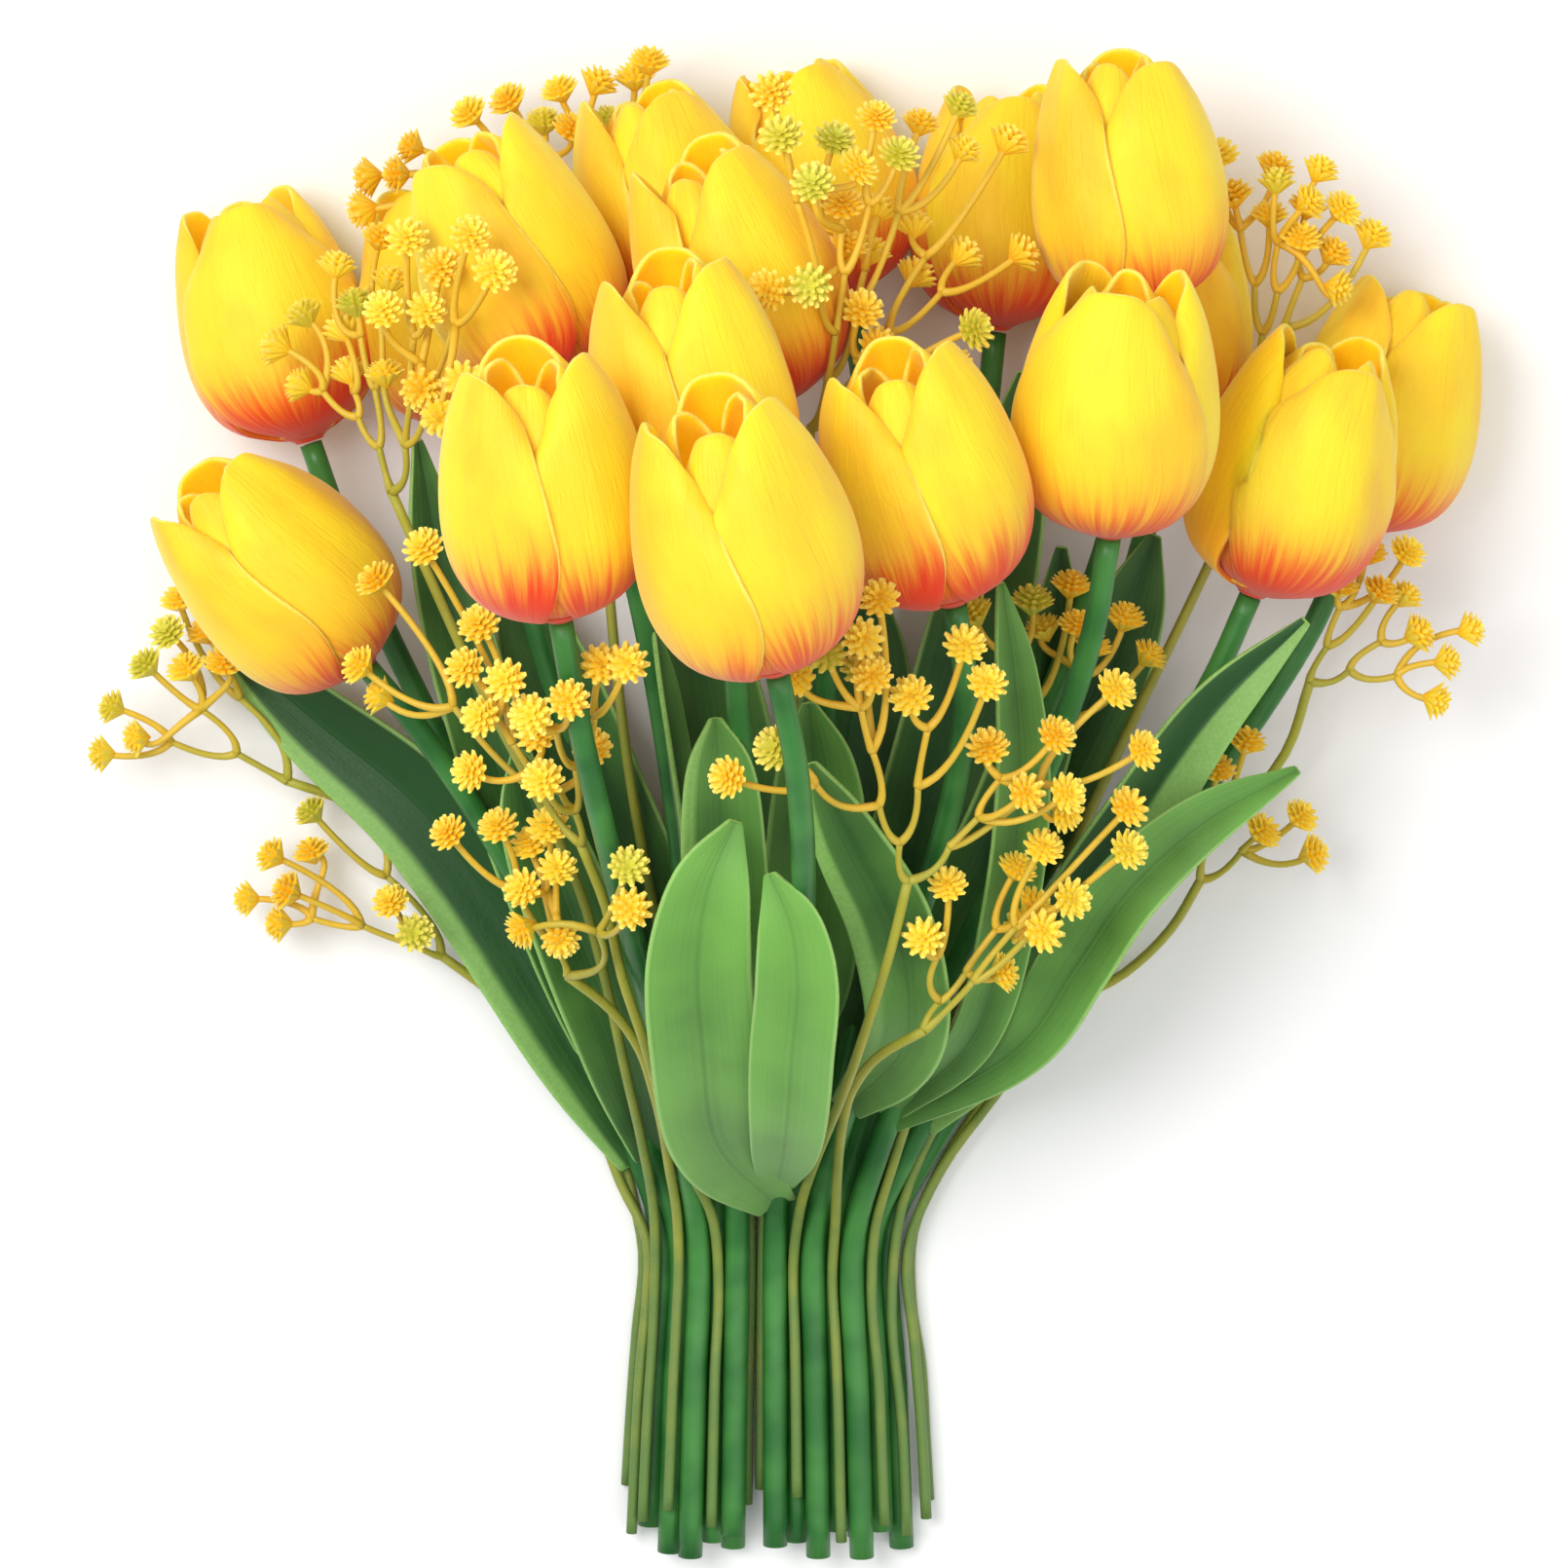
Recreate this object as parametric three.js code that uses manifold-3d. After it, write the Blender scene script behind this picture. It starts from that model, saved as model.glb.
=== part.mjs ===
// A bunch of seventeen tulips with leafy stems and forked sprays of small golden florets.
// The bunch lies on a surface. Millimetres, +Z up, heads towards +Y, stem ends towards -Y.
import * as THREE from "three";
import { mergeVertices } from "three/addons/utils/BufferGeometryUtils.js";
import Module from "manifold-3d";

const wasm = await Module();
wasm.setup();

// ---------------------------------------------------------------- driving dimensions
const BLOOM = { length: 57, radius: 20.8, inset: 3.8, spiral: 0.4, rounding: 0.1, core: 2.2 };
const PETAL = { thick: 1.3, outerHalf: 57, innerHalf: 48 };
const RECEPTACLE = { height: 2.6, low: 3.2, high: 7.2, sides: 6 };
const STEM = { radius: 2.8, sides: 6, steps: 8, end: -186, stagger: 0.035, neck: -112, spread: 1.12 };
const LEAF = { thick: 1.3, rows: 6 };
const STALK = { radius: 1.15, arm: 0.8, steps: 11, joint: 2.6, end: -182, stagger: 3.5 };
const FLORET = { radius: 4.4, waist: 2.4, height: 4.2, points: 6, cupped: 1.2, notch: 0.2 };
const GAP = 0.35;
const CENTRE = { x: 1.57, y: -14.05 };

// The bunch is seen from above, a little from the side of the heads. The spots below are places in
// that view: pixels right and down of a 1610 pixel frame, and a height over the surface in mm.
const VIEW = { middle: 805, scale: 0.207, distance: 1300, tilt: 8.5, x: 2, y: 4, z: 85 };

// Each bloom: name, spot of its middle, height, lean in the view, rise of its tip, turn of its
// petals, size, and where its stem passes the neck (x and height).
const TULIPS = [
  ["01", 281, 328, 20.2, -16, 0, 55, 0.98, -26, 2.38],
  ["02", 288, 588, 52, -40, 14, 124, 1.0, -21.7, 6.6],
  ["03", 527, 266, 70, -24, 8, 10, 1.0, -13, 6.5],
  ["04", 467, 318, 19.4, -12, 0, 30, 0.95, -17.4, 2.38],
  ["05", 690, 224, 42, -14, 5, 80, 0.98, -8.7, 2.38],
  ["06", 757, 288, 80, -20, 9, 85, 1.0, 4.4, 6.5],
  ["07", 707, 408, 116, -11, 12, 94, 1.0, -8.7, 10.6],
  ["08", 556, 502, 143, -7, 16, 98, 1.0, -17.4, 10.6],
  ["09", 762, 554, 155, -14, 17, 96, 1.05, 0, 10.6],
  ["10", 842, 186, 19, -14, 0, 60, 0.93, 0, 2.38],
  ["11", 946, 492, 113, -15, 16, 100, 1.0, 8.8, 10.6],
  ["12", 1029, 215, 19, 3, 0, 40, 0.93, 8.7, 2.38],
  ["13", 1157, 190, 58, -6, 6, 82, 0.97, 13.1, 6.5],
  ["14", 1149, 418, 96, 3, 14, 18, 1.0, 17.7, 11.2],
  ["15", 1199, 330, 18.4, 3, 0, 20, 0.9, 17.4, 2.38],
  ["16", 1330, 482, 59, 18, 8, 38, 1.02, 21.9, 6.5],
  ["17", 1423, 422, 20, 15, 0, 60, 0.98, 26, 2.38],
];

// Each leaf: its stem, half width, fold and roll in degrees, and the spots along its rib from root
// to tip.
const LEAVES = [
  ["01", 13, 16, -8, [[660, 1200, 5], [590, 1070, 11], [507, 930, 14], [425, 825, 15],
    [325, 742, 13], [222, 655, 10]]],
  ["02", 11, 20, 10, [[672, 1190, 14], [628, 1050, 33], [590, 950, 42], [552, 850, 46],
    [530, 770, 46]]],
  ["09", 12, 12, 8, [[760, 1250, 30], [735, 1170, 62], [722, 1080, 86], [716, 990, 100],
    [728, 910, 106], [756, 842, 106]]],
  ["09", 9.5, 8, -14, [[790, 1240, 36], [808, 1165, 72], [814, 1085, 92], [820, 1010, 104],
    [812, 950, 110], [790, 896, 110]]],
  ["07", 10, 18, 10, [[762, 1110, 48], [752, 1000, 72], [742, 900, 84], [738, 800, 90],
    [734, 736, 92]]],
  ["03", 6, 30, 62, [[735, 1120, 22], [716, 980, 40], [700, 860, 52], [684, 740, 60],
    [672, 648, 64]]],
  ["11", 10, 14, -18, [[875, 1150, 38], [932, 1060, 66], [918, 950, 84], [872, 860, 93],
    [832, 782, 98]]],
  ["14", 7, 22, 20, [[930, 1150, 36], [1000, 1060, 52], [1034, 930, 68], [1046, 800, 78],
    [1040, 690, 84], [1027, 597, 86]]],
  ["16", 10, 26, 8, [[960, 1160, 20], [1030, 1060, 36], [1100, 940, 48], [1165, 840, 54],
    [1245, 728, 60], [1342, 636, 64]]],
  ["14", 8.5, 16, -16, [[950, 1160, 32], [1050, 1070, 52], [1105, 990, 62], [1160, 912, 66],
    [1235, 845, 66], [1334, 790, 60]]],
  ["17", 8, 20, 0, [[965, 1130, 8], [1040, 1020, 16], [1110, 920, 20], [1190, 800, 24],
    [1276, 700, 26]]],
  ["15", 12, 18, 8, [[900, 1100, 9], [985, 960, 14], [1070, 810, 17], [1145, 660, 19],
    [1186, 548, 21]]],
  ["12", 12, 18, -6, [[858, 1080, 9], [930, 900, 25], [990, 700, 31], [1030, 530, 34],
    [1052, 380, 36]]],
  ["13", 10, 20, 12, [[900, 1090, 18], [965, 970, 27], [1030, 840, 33], [1075, 700, 35],
    [1090, 560, 37]]],
  ["10", 15, 14, 6, [[812, 1060, 9], [835, 940, 14], [860, 820, 16], [880, 700, 17],
    [890, 590, 19]]],
  ["05", 14, 14, -6, [[770, 1060, 10], [760, 930, 23], [742, 800, 31], [722, 680, 36],
    [708, 590, 38]]],
  ["04", 13, 16, -8, [[708, 1070, 9], [660, 940, 14], [610, 810, 16], [565, 690, 17],
    [520, 570, 19]]],
  ["01", 9, 20, 14, [[630, 1110, 9], [560, 930, 20], [500, 760, 28], [455, 600, 30],
    [428, 450, 34]]],
  ["06", 12, 18, 10, [[815, 1080, 30], [830, 950, 44], [836, 820, 56], [830, 720, 64]]],
];

// Each spray: where its stalk passes the neck, the spots along its stalk up to its main fork, and
// the groups of florets on its side forks. A group is a height and the spots of its florets.
const SPRAYS = [
  ["01", -27.2, 7.6, [[640, 1090, 36], [590, 900, 52], [490, 700, 56], [402, 505, 62]], [
    [56, [[283, 354], [306, 394], [324, 333], [352, 336], [357, 377]]],
    [60, [[346, 270], [401, 285], [374, 408], [395, 259], [369, 306]]],
    [92, [[418, 243], [455, 273], [410, 317], [438, 317], [434, 401]]],
    [104, [[508, 278], [485, 242], [459, 420], [476, 391]]],
  ]],
  ["02", -5.8, 5.7, [[748, 1080, 12], [690, 985, 14.5], [652, 830, 25.5], [625, 600, 28], [606, 240, 20]], [
    [24, [[376, 182], [420, 150], [396, 207], [411, 170]]],
    [26, [[480, 115], [483, 138], [515, 126], [522, 154], [553, 128]]],
    [30, [[571, 96], [597, 86], [602, 114], [631, 117]]],
    [26, [[638, 79], [655, 73], [655, 115]]],
  ]],
  ["03", -3, 5.6, [[806, 900, 40], [822, 560, 74], [832, 440, 84]], [
    [108, [[784, 301], [827, 294], [834, 187], [802, 138], [798, 121]]],
    [92, [[858, 142], [900, 119], [876, 136], [865, 208], [916, 145]]],
    [76, [[946, 124], [979, 110], [974, 145], [904, 212], [895, 254]]],
    [66, [[1037, 143], [990, 259], [942, 280], [1051, 259], [939, 229]]],
    [88, [[865, 317], [897, 342], [856, 268], [1002, 338], [986, 375]]],
  ]],
  ["04", 27, 6.9, [[1120, 830, 26], [1280, 480, 28], [1291, 387, 30]], [
    [40, [[1251, 157], [1265, 198], [1288, 194], [1296, 214]]],
    [44, [[1309, 191], [1316, 200], [1345, 191], [1330, 222], [1372, 212]]],
    [40, [[1410, 240], [1382, 243], [1372, 268], [1351, 212]]],
  ]],
  ["05", 31, 5.3, [[1155, 955, 17], [1310, 790, 22], [1345, 700, 34]], [
    [42, [[1403, 566], [1386, 587], [1423, 566], [1414, 594]]],
    [38, [[1435, 608], [1456, 643], [1477, 664], [1488, 679], [1482, 701]]],
  ]],
  ["06", 31.6, 1.8, [[1080, 1045, 1.5], [1178, 983, 5], [1233, 903, 15]], [
    [24, [[1337, 837], [1309, 848], [1344, 858]]],
    [30, [[1242, 784], [1267, 767]]],
  ]],
  ["07", -30.6, 1.8, [[575, 1010, 2.5], [400, 845, 4], [295, 802, 12]], [
    [20, [[183, 614], [200, 635], [225, 679]]],
    [24, [[148, 681], [169, 683], [167, 656]]],
    [20, [[102, 774], [113, 725], [128, 748]]],
  ]],
  ["08", -29.5, 5.4, [[551, 1062, 4], [453, 981, 8]], [
    [14, [[323, 827], [358, 816], [318, 856]]],
    [16, [[251, 923], [277, 877], [288, 891], [272, 939]]],
    [27, [[400, 925], [424, 955]]],
  ]],
  ["09", -13.05, 12.3, [[690, 1165, 40], [664, 1080, 62], [622, 930, 80], [596, 866, 88]], [
    [81, [[385, 594], [367, 682], [399, 707]]],
    [98, [[434, 561], [476, 685], [490, 640], [492, 736]]],
    [134, [[645, 680], [518, 698], [553, 717], [585, 715], [613, 696]]],
    [106, [[481, 792], [550, 752], [555, 799], [608, 766]]],
  ]],
  ["10", -21.9, 10.9, [[668, 1110, 44], [640, 1050, 56], [583, 1002, 66]], [
    [82, [[459, 854], [511, 847], [534, 868]]],
    [84, [[567, 847], [569, 875], [550, 938], [538, 910], [576, 966]]],
    [108, [[646, 889], [657, 928]]],
  ]],
  ["11", 4.4, 12.3, [[876, 1095, 76], [912, 985, 92], [932, 905, 100]], [
    [124, [[746, 798], [795, 768], [816, 695]]],
    [128, [[904, 610], [848, 670], [897, 635], [895, 693]]],
    [120, [[935, 714], [991, 661], [891, 728], [1012, 696]]],
    [104, [[1086, 754], [1014, 766], [1050, 828], [1097, 814]]],
    [96, [[1147, 707], [1175, 770], [1096, 833]]],
  ]],
  ["12", 13.5, 12.9, [[886, 1100, 68], [949, 1058, 82]], [
    [92, [[949, 959], [960, 920]]],
    [80, [[1032, 998], [1039, 886], [1030, 970], [1060, 921]]],
    [92, [[1160, 872], [1072, 869], [1160, 851], [1102, 923], [1079, 949]]],
  ]],
  ["13", 22.3, 10.9, [[1000, 980, 34], [1060, 780, 42]], [
    [52, [[998, 628], [1060, 615], [1081, 619], [1095, 601]]],
    [48, [[1182, 671], [1123, 661], [1072, 657], [1144, 643]]],
  ]],
];

const COLOUR = { petal: 0xf5c22a, leaf: 0x4a9a42, floret: 0xd9a424 };

// ---------------------------------------------------------------- small helpers
const rad = THREE.MathUtils.degToRad;
const vec = (x, y, z) => new THREE.Vector3(x, y, z);
const smooth = (points) => new THREE.CatmullRomCurve3(points, false, "centripetal");

// The place of a spot of the view at a height over the surface.
function spot(px, py, z) {
  const across = ((px - VIEW.middle) * VIEW.scale) / VIEW.distance;
  const up = ((VIEW.middle - py) * VIEW.scale) / VIEW.distance;
  const sin = Math.sin(rad(VIEW.tilt));
  const cos = Math.cos(rad(VIEW.tilt));
  const rise = z - VIEW.z;
  const y = (up * (VIEW.distance - rise * cos) + rise * sin) / (cos + up * sin);
  const depth = VIEW.distance - y * sin - rise * cos;
  return vec(across * depth + VIEW.x, y + VIEW.y, z);
}

function curveThrough(values, at) {
  const last = values.length - 1;
  const index = Math.min(Math.floor(at * last), last - 1);
  const part = at * last - index;
  const ease = part * part * (3 - 2 * part);
  return values[index] + (values[index + 1] - values[index]) * ease;
}

function solidOf(geometry) {
  geometry.deleteAttribute("normal");
  geometry.deleteAttribute("uv");
  const merged = mergeVertices(geometry);
  return new wasm.Manifold(new wasm.Mesh({
    numProp: 3,
    vertProperties: new Float32Array(merged.attributes.position.array),
    triVerts: new Uint32Array(merged.index.array),
  }));
}

function joined(solids) {
  return solids.reduce((whole, solid) => whole.add(solid));
}

function meshOf(name, solid, colour, roughness) {
  const mesh = solid.getMesh();
  const geometry = new THREE.BufferGeometry();
  geometry.setAttribute("position", new THREE.BufferAttribute(mesh.vertProperties, 3));
  geometry.setIndex(new THREE.BufferAttribute(mesh.triVerts, 1));
  geometry.computeVertexNormals();
  const material = new THREE.MeshStandardMaterial({ color: colour, roughness, metalness: 0 });
  const result = new THREE.Mesh(geometry, material);
  result.name = name;
  return result;
}

// A mesh in the making, as lists of coordinates and of triangles.
class Draft {
  constructor() {
    this.positions = [];
    this.index = [];
  }

  vertex(point) {
    this.positions.push(...point.toArray());
    return this.positions.length / 3 - 1;
  }

  at(vertex) {
    return new THREE.Vector3().fromArray(this.positions, vertex * 3);
  }

  // A blade: grid[row][column] gives { front, back }, and a last row of one point is a tip.
  // A foot that stays open is given back as a loop of vertices.
  blade(grid, closed) {
    const rows = grid.map((row) => row.map(({ front, back }) => (
      [this.vertex(front), this.vertex(back)])));
    const edge = (a, b) => this.index.push(a[0], b[0], b[1], a[0], b[1], a[1]);
    const both = (a, b, c) => this.index.push(a[0], b[0], c[0], b[1], a[1], c[1]);
    for (let r = 0; r + 1 < rows.length; r += 1) {
      const low = rows[r];
      const high = rows[r + 1];
      for (let c = 0; c + 1 < low.length; c += 1) {
        if (high.length === 1) {
          both(low[c], low[c + 1], high[0]);
        } else if (2 * c + 2 < low.length) {
          both(low[c], low[c + 1], high[c]);
          both(low[c + 1], high[c + 1], high[c]);
        } else {
          both(low[c], low[c + 1], high[c + 1]);
          both(low[c], high[c + 1], high[c]);
        }
      }
      edge(low[0], high[0]);
      edge(high[high.length - 1], low[low.length - 1]);
    }
    const top = rows[rows.length - 1];
    for (let c = 0; c + 1 < top.length; c += 1) {
      edge(top[c], top[c + 1]);
    }
    for (let c = 0; closed && c + 1 < rows[0].length; c += 1) {
      edge(rows[0][c + 1], rows[0][c]);
    }
    return [...rows[0].map(([front]) => front), ...rows[0].map(([, back]) => back).reverse()];
  }

  // A flat face upwards, inside an outline and round holes.
  face(outline, holes) {
    const flat = (loop) => loop.map((vertex) => {
      const point = this.at(vertex);
      return new THREE.Vector2(point.x, point.y);
    });
    const corners = [...outline, ...holes.flat()];
    const around = (a, b, c) => b.clone().sub(a).cross(c.clone().sub(a));
    const places = flat(corners);
    for (const [a, b, c] of THREE.ShapeUtils.triangulateShape(flat(outline), holes.map(flat))) {
      const up = around(places[a], places[b], places[c]) > 0;
      this.index.push(corners[a], corners[up ? b : c], corners[up ? c : b]);
    }
  }

  solid() {
    const geometry = new THREE.BufferGeometry();
    geometry.setAttribute("position", new THREE.Float32BufferAttribute(this.positions, 3));
    geometry.setIndex(this.index);
    return solidOf(geometry);
  }
}

// A round rod along a list of points.
function rod(points, radius, sides, steps) {
  const ring = [];
  for (let side = 0; side < sides; side += 1) {
    const angle = (2 * Math.PI * (side + 0.5)) / sides;
    ring.push(new THREE.Vector2(radius * Math.cos(angle), radius * Math.sin(angle)));
  }
  const settings = { steps, extrudePath: smooth(points), bevelEnabled: false };
  return solidOf(new THREE.ExtrudeGeometry(new THREE.Shape(ring), settings));
}

// ---------------------------------------------------------------- keeping clear
// Every finished piece leaves balls along itself, and later sprays bend round those balls.
const taken = [];

function take(points, radius) {
  for (const at of points) {
    taken.push({ at, radius });
  }
}

// The nearest place of a ball that is clear. What lies round the given joints isn't in its way.
function clearOf(point, radius, joints = []) {
  const free = point.clone();
  const near = taken.filter((ball) => (
    ball.at.distanceTo(point) < ball.radius + radius + 30
    && joints.every((joint) => ball.at.distanceTo(joint) > STALK.joint)));
  for (let pass = 0; pass < 14; pass += 1) {
    let moved = false;
    for (const ball of near) {
      const away = free.clone().sub(ball.at);
      const need = ball.radius + radius + GAP;
      if (away.length() < need) {
        free.copy(ball.at).addScaledVector(away.normalize(), need);
        moved = true;
      }
    }
    if (free.z < radius) {
      free.z = radius;
      moved = true;
    }
    if (!moved) {
      break;
    }
  }
  return free;
}

// A path that is clear between its points too. A path between two forks keeps its ends.
function clearPath(points, radius, endsStay) {
  const path = points.map((point) => point.clone());
  const free = (index) => !endsStay || (index > 0 && index < path.length - 1);
  const joints = endsStay ? [points[0], points[points.length - 1]] : [];
  for (let pass = 0; pass < 8; pass += 1) {
    for (let i = 0; i + 1 < path.length; i += 1) {
      for (const part of [0.2, 0.5, 0.8]) {
        const at = path[i].clone().lerp(path[i + 1], part);
        const push = clearOf(at, radius, joints).sub(at);
        if (free(i)) {
          path[i].addScaledVector(push, 1 - part);
        }
        if (free(i + 1)) {
          path[i + 1].addScaledVector(push, part);
        }
      }
    }
  }
  return path;
}

// ---------------------------------------------------------------- blooms
// Radius of the cup and width of a petal, as shares of the largest, from base to tip.
const CUP = [0.2, 0.74, 0.94, 1.0, 0.99, 0.94, 0.85, 0.74, 0.6];
const WIDTH = [0.5, 0.84, 0.96, 1.0, 1.0, 0.95, 0.85, 0.68, 0.4];
const OUTER_ROWS = [0.12, 0.38, 0.74, 1];
const INNER_ROWS = [0.4, 1];

// A petal is a curved blade: grid rows go up the cup and columns go round it.
function petalGrid(size, turn, halfWidth, inset, columns, stations) {
  const step = 0.01;
  const length = BLOOM.length * size;
  const cup = (t) => {
    const share = curveThrough(CUP, THREE.MathUtils.clamp(t, 0, 1));
    return Math.max(share * BLOOM.radius * size - inset, BLOOM.core);
  };
  return [0, ...stations].map((t) => {
    const foot = t === 0;
    const slope = foot ? 0 : (cup(t + step) - cup(t - step)) / (length * 2 * step);
    const flat = Math.hypot(1, slope);
    const line = [];
    for (let column = 0; column <= columns; column += 1) {
      const across = (2 * column) / columns - 1;
      const angle = turn + across * halfWidth * curveThrough(WIDTH, t);
      const rounded = length * (t - BLOOM.rounding * across ** 2 * t ** 4);
      const rise = foot ? RECEPTACLE.height : rounded;
      const point = (offset) => {
        const r = cup(t) + across * BLOOM.spiral + offset / flat;
        return vec(r * Math.cos(angle), r * Math.sin(angle), rise - (offset * slope) / flat);
      };
      line.push({ front: point(PETAL.thick / 2), back: point(-PETAL.thick / 2) });
    }
    return line;
  });
}

// Six petals in two layers grow from the flat top of a small receptacle.
function bloomSolid(turn, size) {
  const draft = new Draft();
  const { sides } = RECEPTACLE;
  const round = (wide, z) => Array.from({ length: sides }, (_, side) => {
    const angle = (2 * Math.PI * side) / sides + rad(turn);
    return draft.vertex(vec(wide * Math.cos(angle), wide * Math.sin(angle), z));
  });
  const low = round(RECEPTACLE.low, 0);
  const high = round(RECEPTACLE.high, RECEPTACLE.height);
  const holes = [];
  for (let petal = 0; petal < 3; petal += 1) {
    const outer = rad(turn + 120 * petal);
    const inner = rad(turn + 120 * petal + 60);
    const outside = petalGrid(size, outer, rad(PETAL.outerHalf), 0, 3, OUTER_ROWS);
    const inside = petalGrid(size, inner, rad(PETAL.innerHalf), BLOOM.inset, 2, INNER_ROWS);
    holes.push(draft.blade(outside, false), draft.blade(inside, false));
  }
  draft.face(high, holes);
  for (let side = 0; side < sides; side += 1) {
    const next = (side + 1) % sides;
    draft.index.push(low[side], low[next], high[next], low[side], high[next], high[side]);
  }
  for (let side = 1; side + 1 < sides; side += 1) {
    draft.index.push(low[0], low[side + 1], low[side]);
  }
  return draft.solid();
}

// The frame of a bloom, with its base at the stem's top and its axis along the flower.
function bloomFrame([, px, py, z, lean, rise, , size]) {
  const axis = vec(
    Math.sin(rad(lean)) * Math.cos(rad(rise)),
    Math.cos(rad(lean)) * Math.cos(rad(rise)),
    Math.sin(rad(rise)),
  );
  const middle = spot(px, py, z);
  const base = middle.clone().addScaledVector(axis, (-BLOOM.length * size) / 2);
  const turn = new THREE.Quaternion().setFromUnitVectors(vec(0, 0, 1), axis);
  return { axis, base, turn, size };
}

function placed(solid, frame) {
  const matrix = new THREE.Matrix4().compose(frame.base, frame.turn, vec(1, 1, 1));
  return solid.transform(matrix.toArray());
}

// The lowest blooms and stems get a small flat where they rest.
function restedOnSurface(solid) {
  const wide = 400;
  const deep = 40;
  const box = new THREE.BoxGeometry(wide, wide, deep).translate(0, 0, -deep / 2);
  return solid.subtract(solidOf(box));
}

// A row of balls that fills the cup, each with its place along the axis and its share of the radius.
const CUP_BALLS = [[0.16, 0.66], [0.38, 0.97], [0.58, 0.94], [0.8, 0.72]];

function takeBloom({ axis, base, size }) {
  for (const [along, wide] of CUP_BALLS) {
    const centre = base.clone().addScaledVector(axis, along * BLOOM.length * size);
    take([centre], wide * BLOOM.radius * size + PETAL.thick);
  }
}

// ---------------------------------------------------------------- leafy stems
// A stem runs straight from its end to the neck, then bends over into the axis of its bloom.
function stemPoints(row, frame) {
  const [neckX, neckZ] = row.slice(8);
  const lift = 0.35;
  const turn = 0.5;
  const hold = 0.8;
  const neck = vec(neckX, STEM.neck, neckZ);
  const cut = STEM.stagger * ((Number(row[0]) + 1) % 3);
  const end = vec(neckX * STEM.spread, STEM.end, neckZ).lerp(neck, cut);
  const top = frame.base.clone().addScaledVector(frame.axis, -2 * GAP);
  const reach = top.distanceTo(neck) / 3;
  const first = neck.clone().addScaledVector(vec(0, 1, 0), reach * lift)
    .addScaledVector(top.clone().sub(neck).normalize(), reach * turn);
  const last = top.clone().addScaledVector(frame.axis, -reach * hold);
  const bend = new THREE.CubicBezierCurve3(neck, first, last, top);
  return [end, end.clone().lerp(neck, 0.5), ...bend.getPoints(8)];
}

// The point of a stem that is as far along Y as a given point.
function nearestAlong(stem, point) {
  const close = (a, b) => (Math.abs(a.y - point.y) < Math.abs(b.y - point.y) ? a : b);
  return smooth(stem).getSpacedPoints(90).reduce(close);
}

// Width of a leaf, as a share of the largest, from root to tip.
const BLADE = [0.34, 0.78, 0.96, 1.0, 0.98, 0.86, 0.6, 0];

// A leaf is a blade along its rib, folded up on both sides of it and rolled to one side.
function leafGrid(stem, [, halfWidth, fold, roll, ribSpots], rows, columns) {
  const spots = ribSpots.map(([px, py, z]) => spot(px, py, z));
  const rib = smooth([nearestAlong(stem, spots[0]), ...spots.slice(1)]);
  const grid = [];
  for (let row = 0; row <= rows; row += 1) {
    const t = row / rows;
    const tip = row === rows;
    const at = rib.getPoint(t);
    const along = rib.getTangent(t);
    const side = along.clone().cross(vec(0, 0, 1)).normalize();
    const up = side.clone().cross(along).normalize();
    side.applyAxisAngle(along, rad(roll * Math.min(1, 2 * t)));
    up.applyAxisAngle(along, rad(roll * Math.min(1, 2 * t)));
    const line = [];
    for (let column = 0; column <= (tip ? 0 : columns); column += 1) {
      const across = tip ? 0 : (2 * column) / columns - 1;
      const half = halfWidth * curveThrough(BLADE, t) * across;
      const middle = at.clone().addScaledVector(side, half * Math.cos(rad(fold)))
        .addScaledVector(up, Math.abs(half) * Math.sin(rad(fold)));
      line.push({
        front: middle.clone().addScaledVector(up, LEAF.thick / 2),
        back: middle.clone().addScaledVector(up, -LEAF.thick / 2),
      });
    }
    grid.push(line);
  }
  return grid;
}

function leafSolid(stem, leaf) {
  const draft = new Draft();
  draft.blade(leafGrid(stem, leaf, LEAF.rows, 2), true);
  return draft.solid();
}

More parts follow.
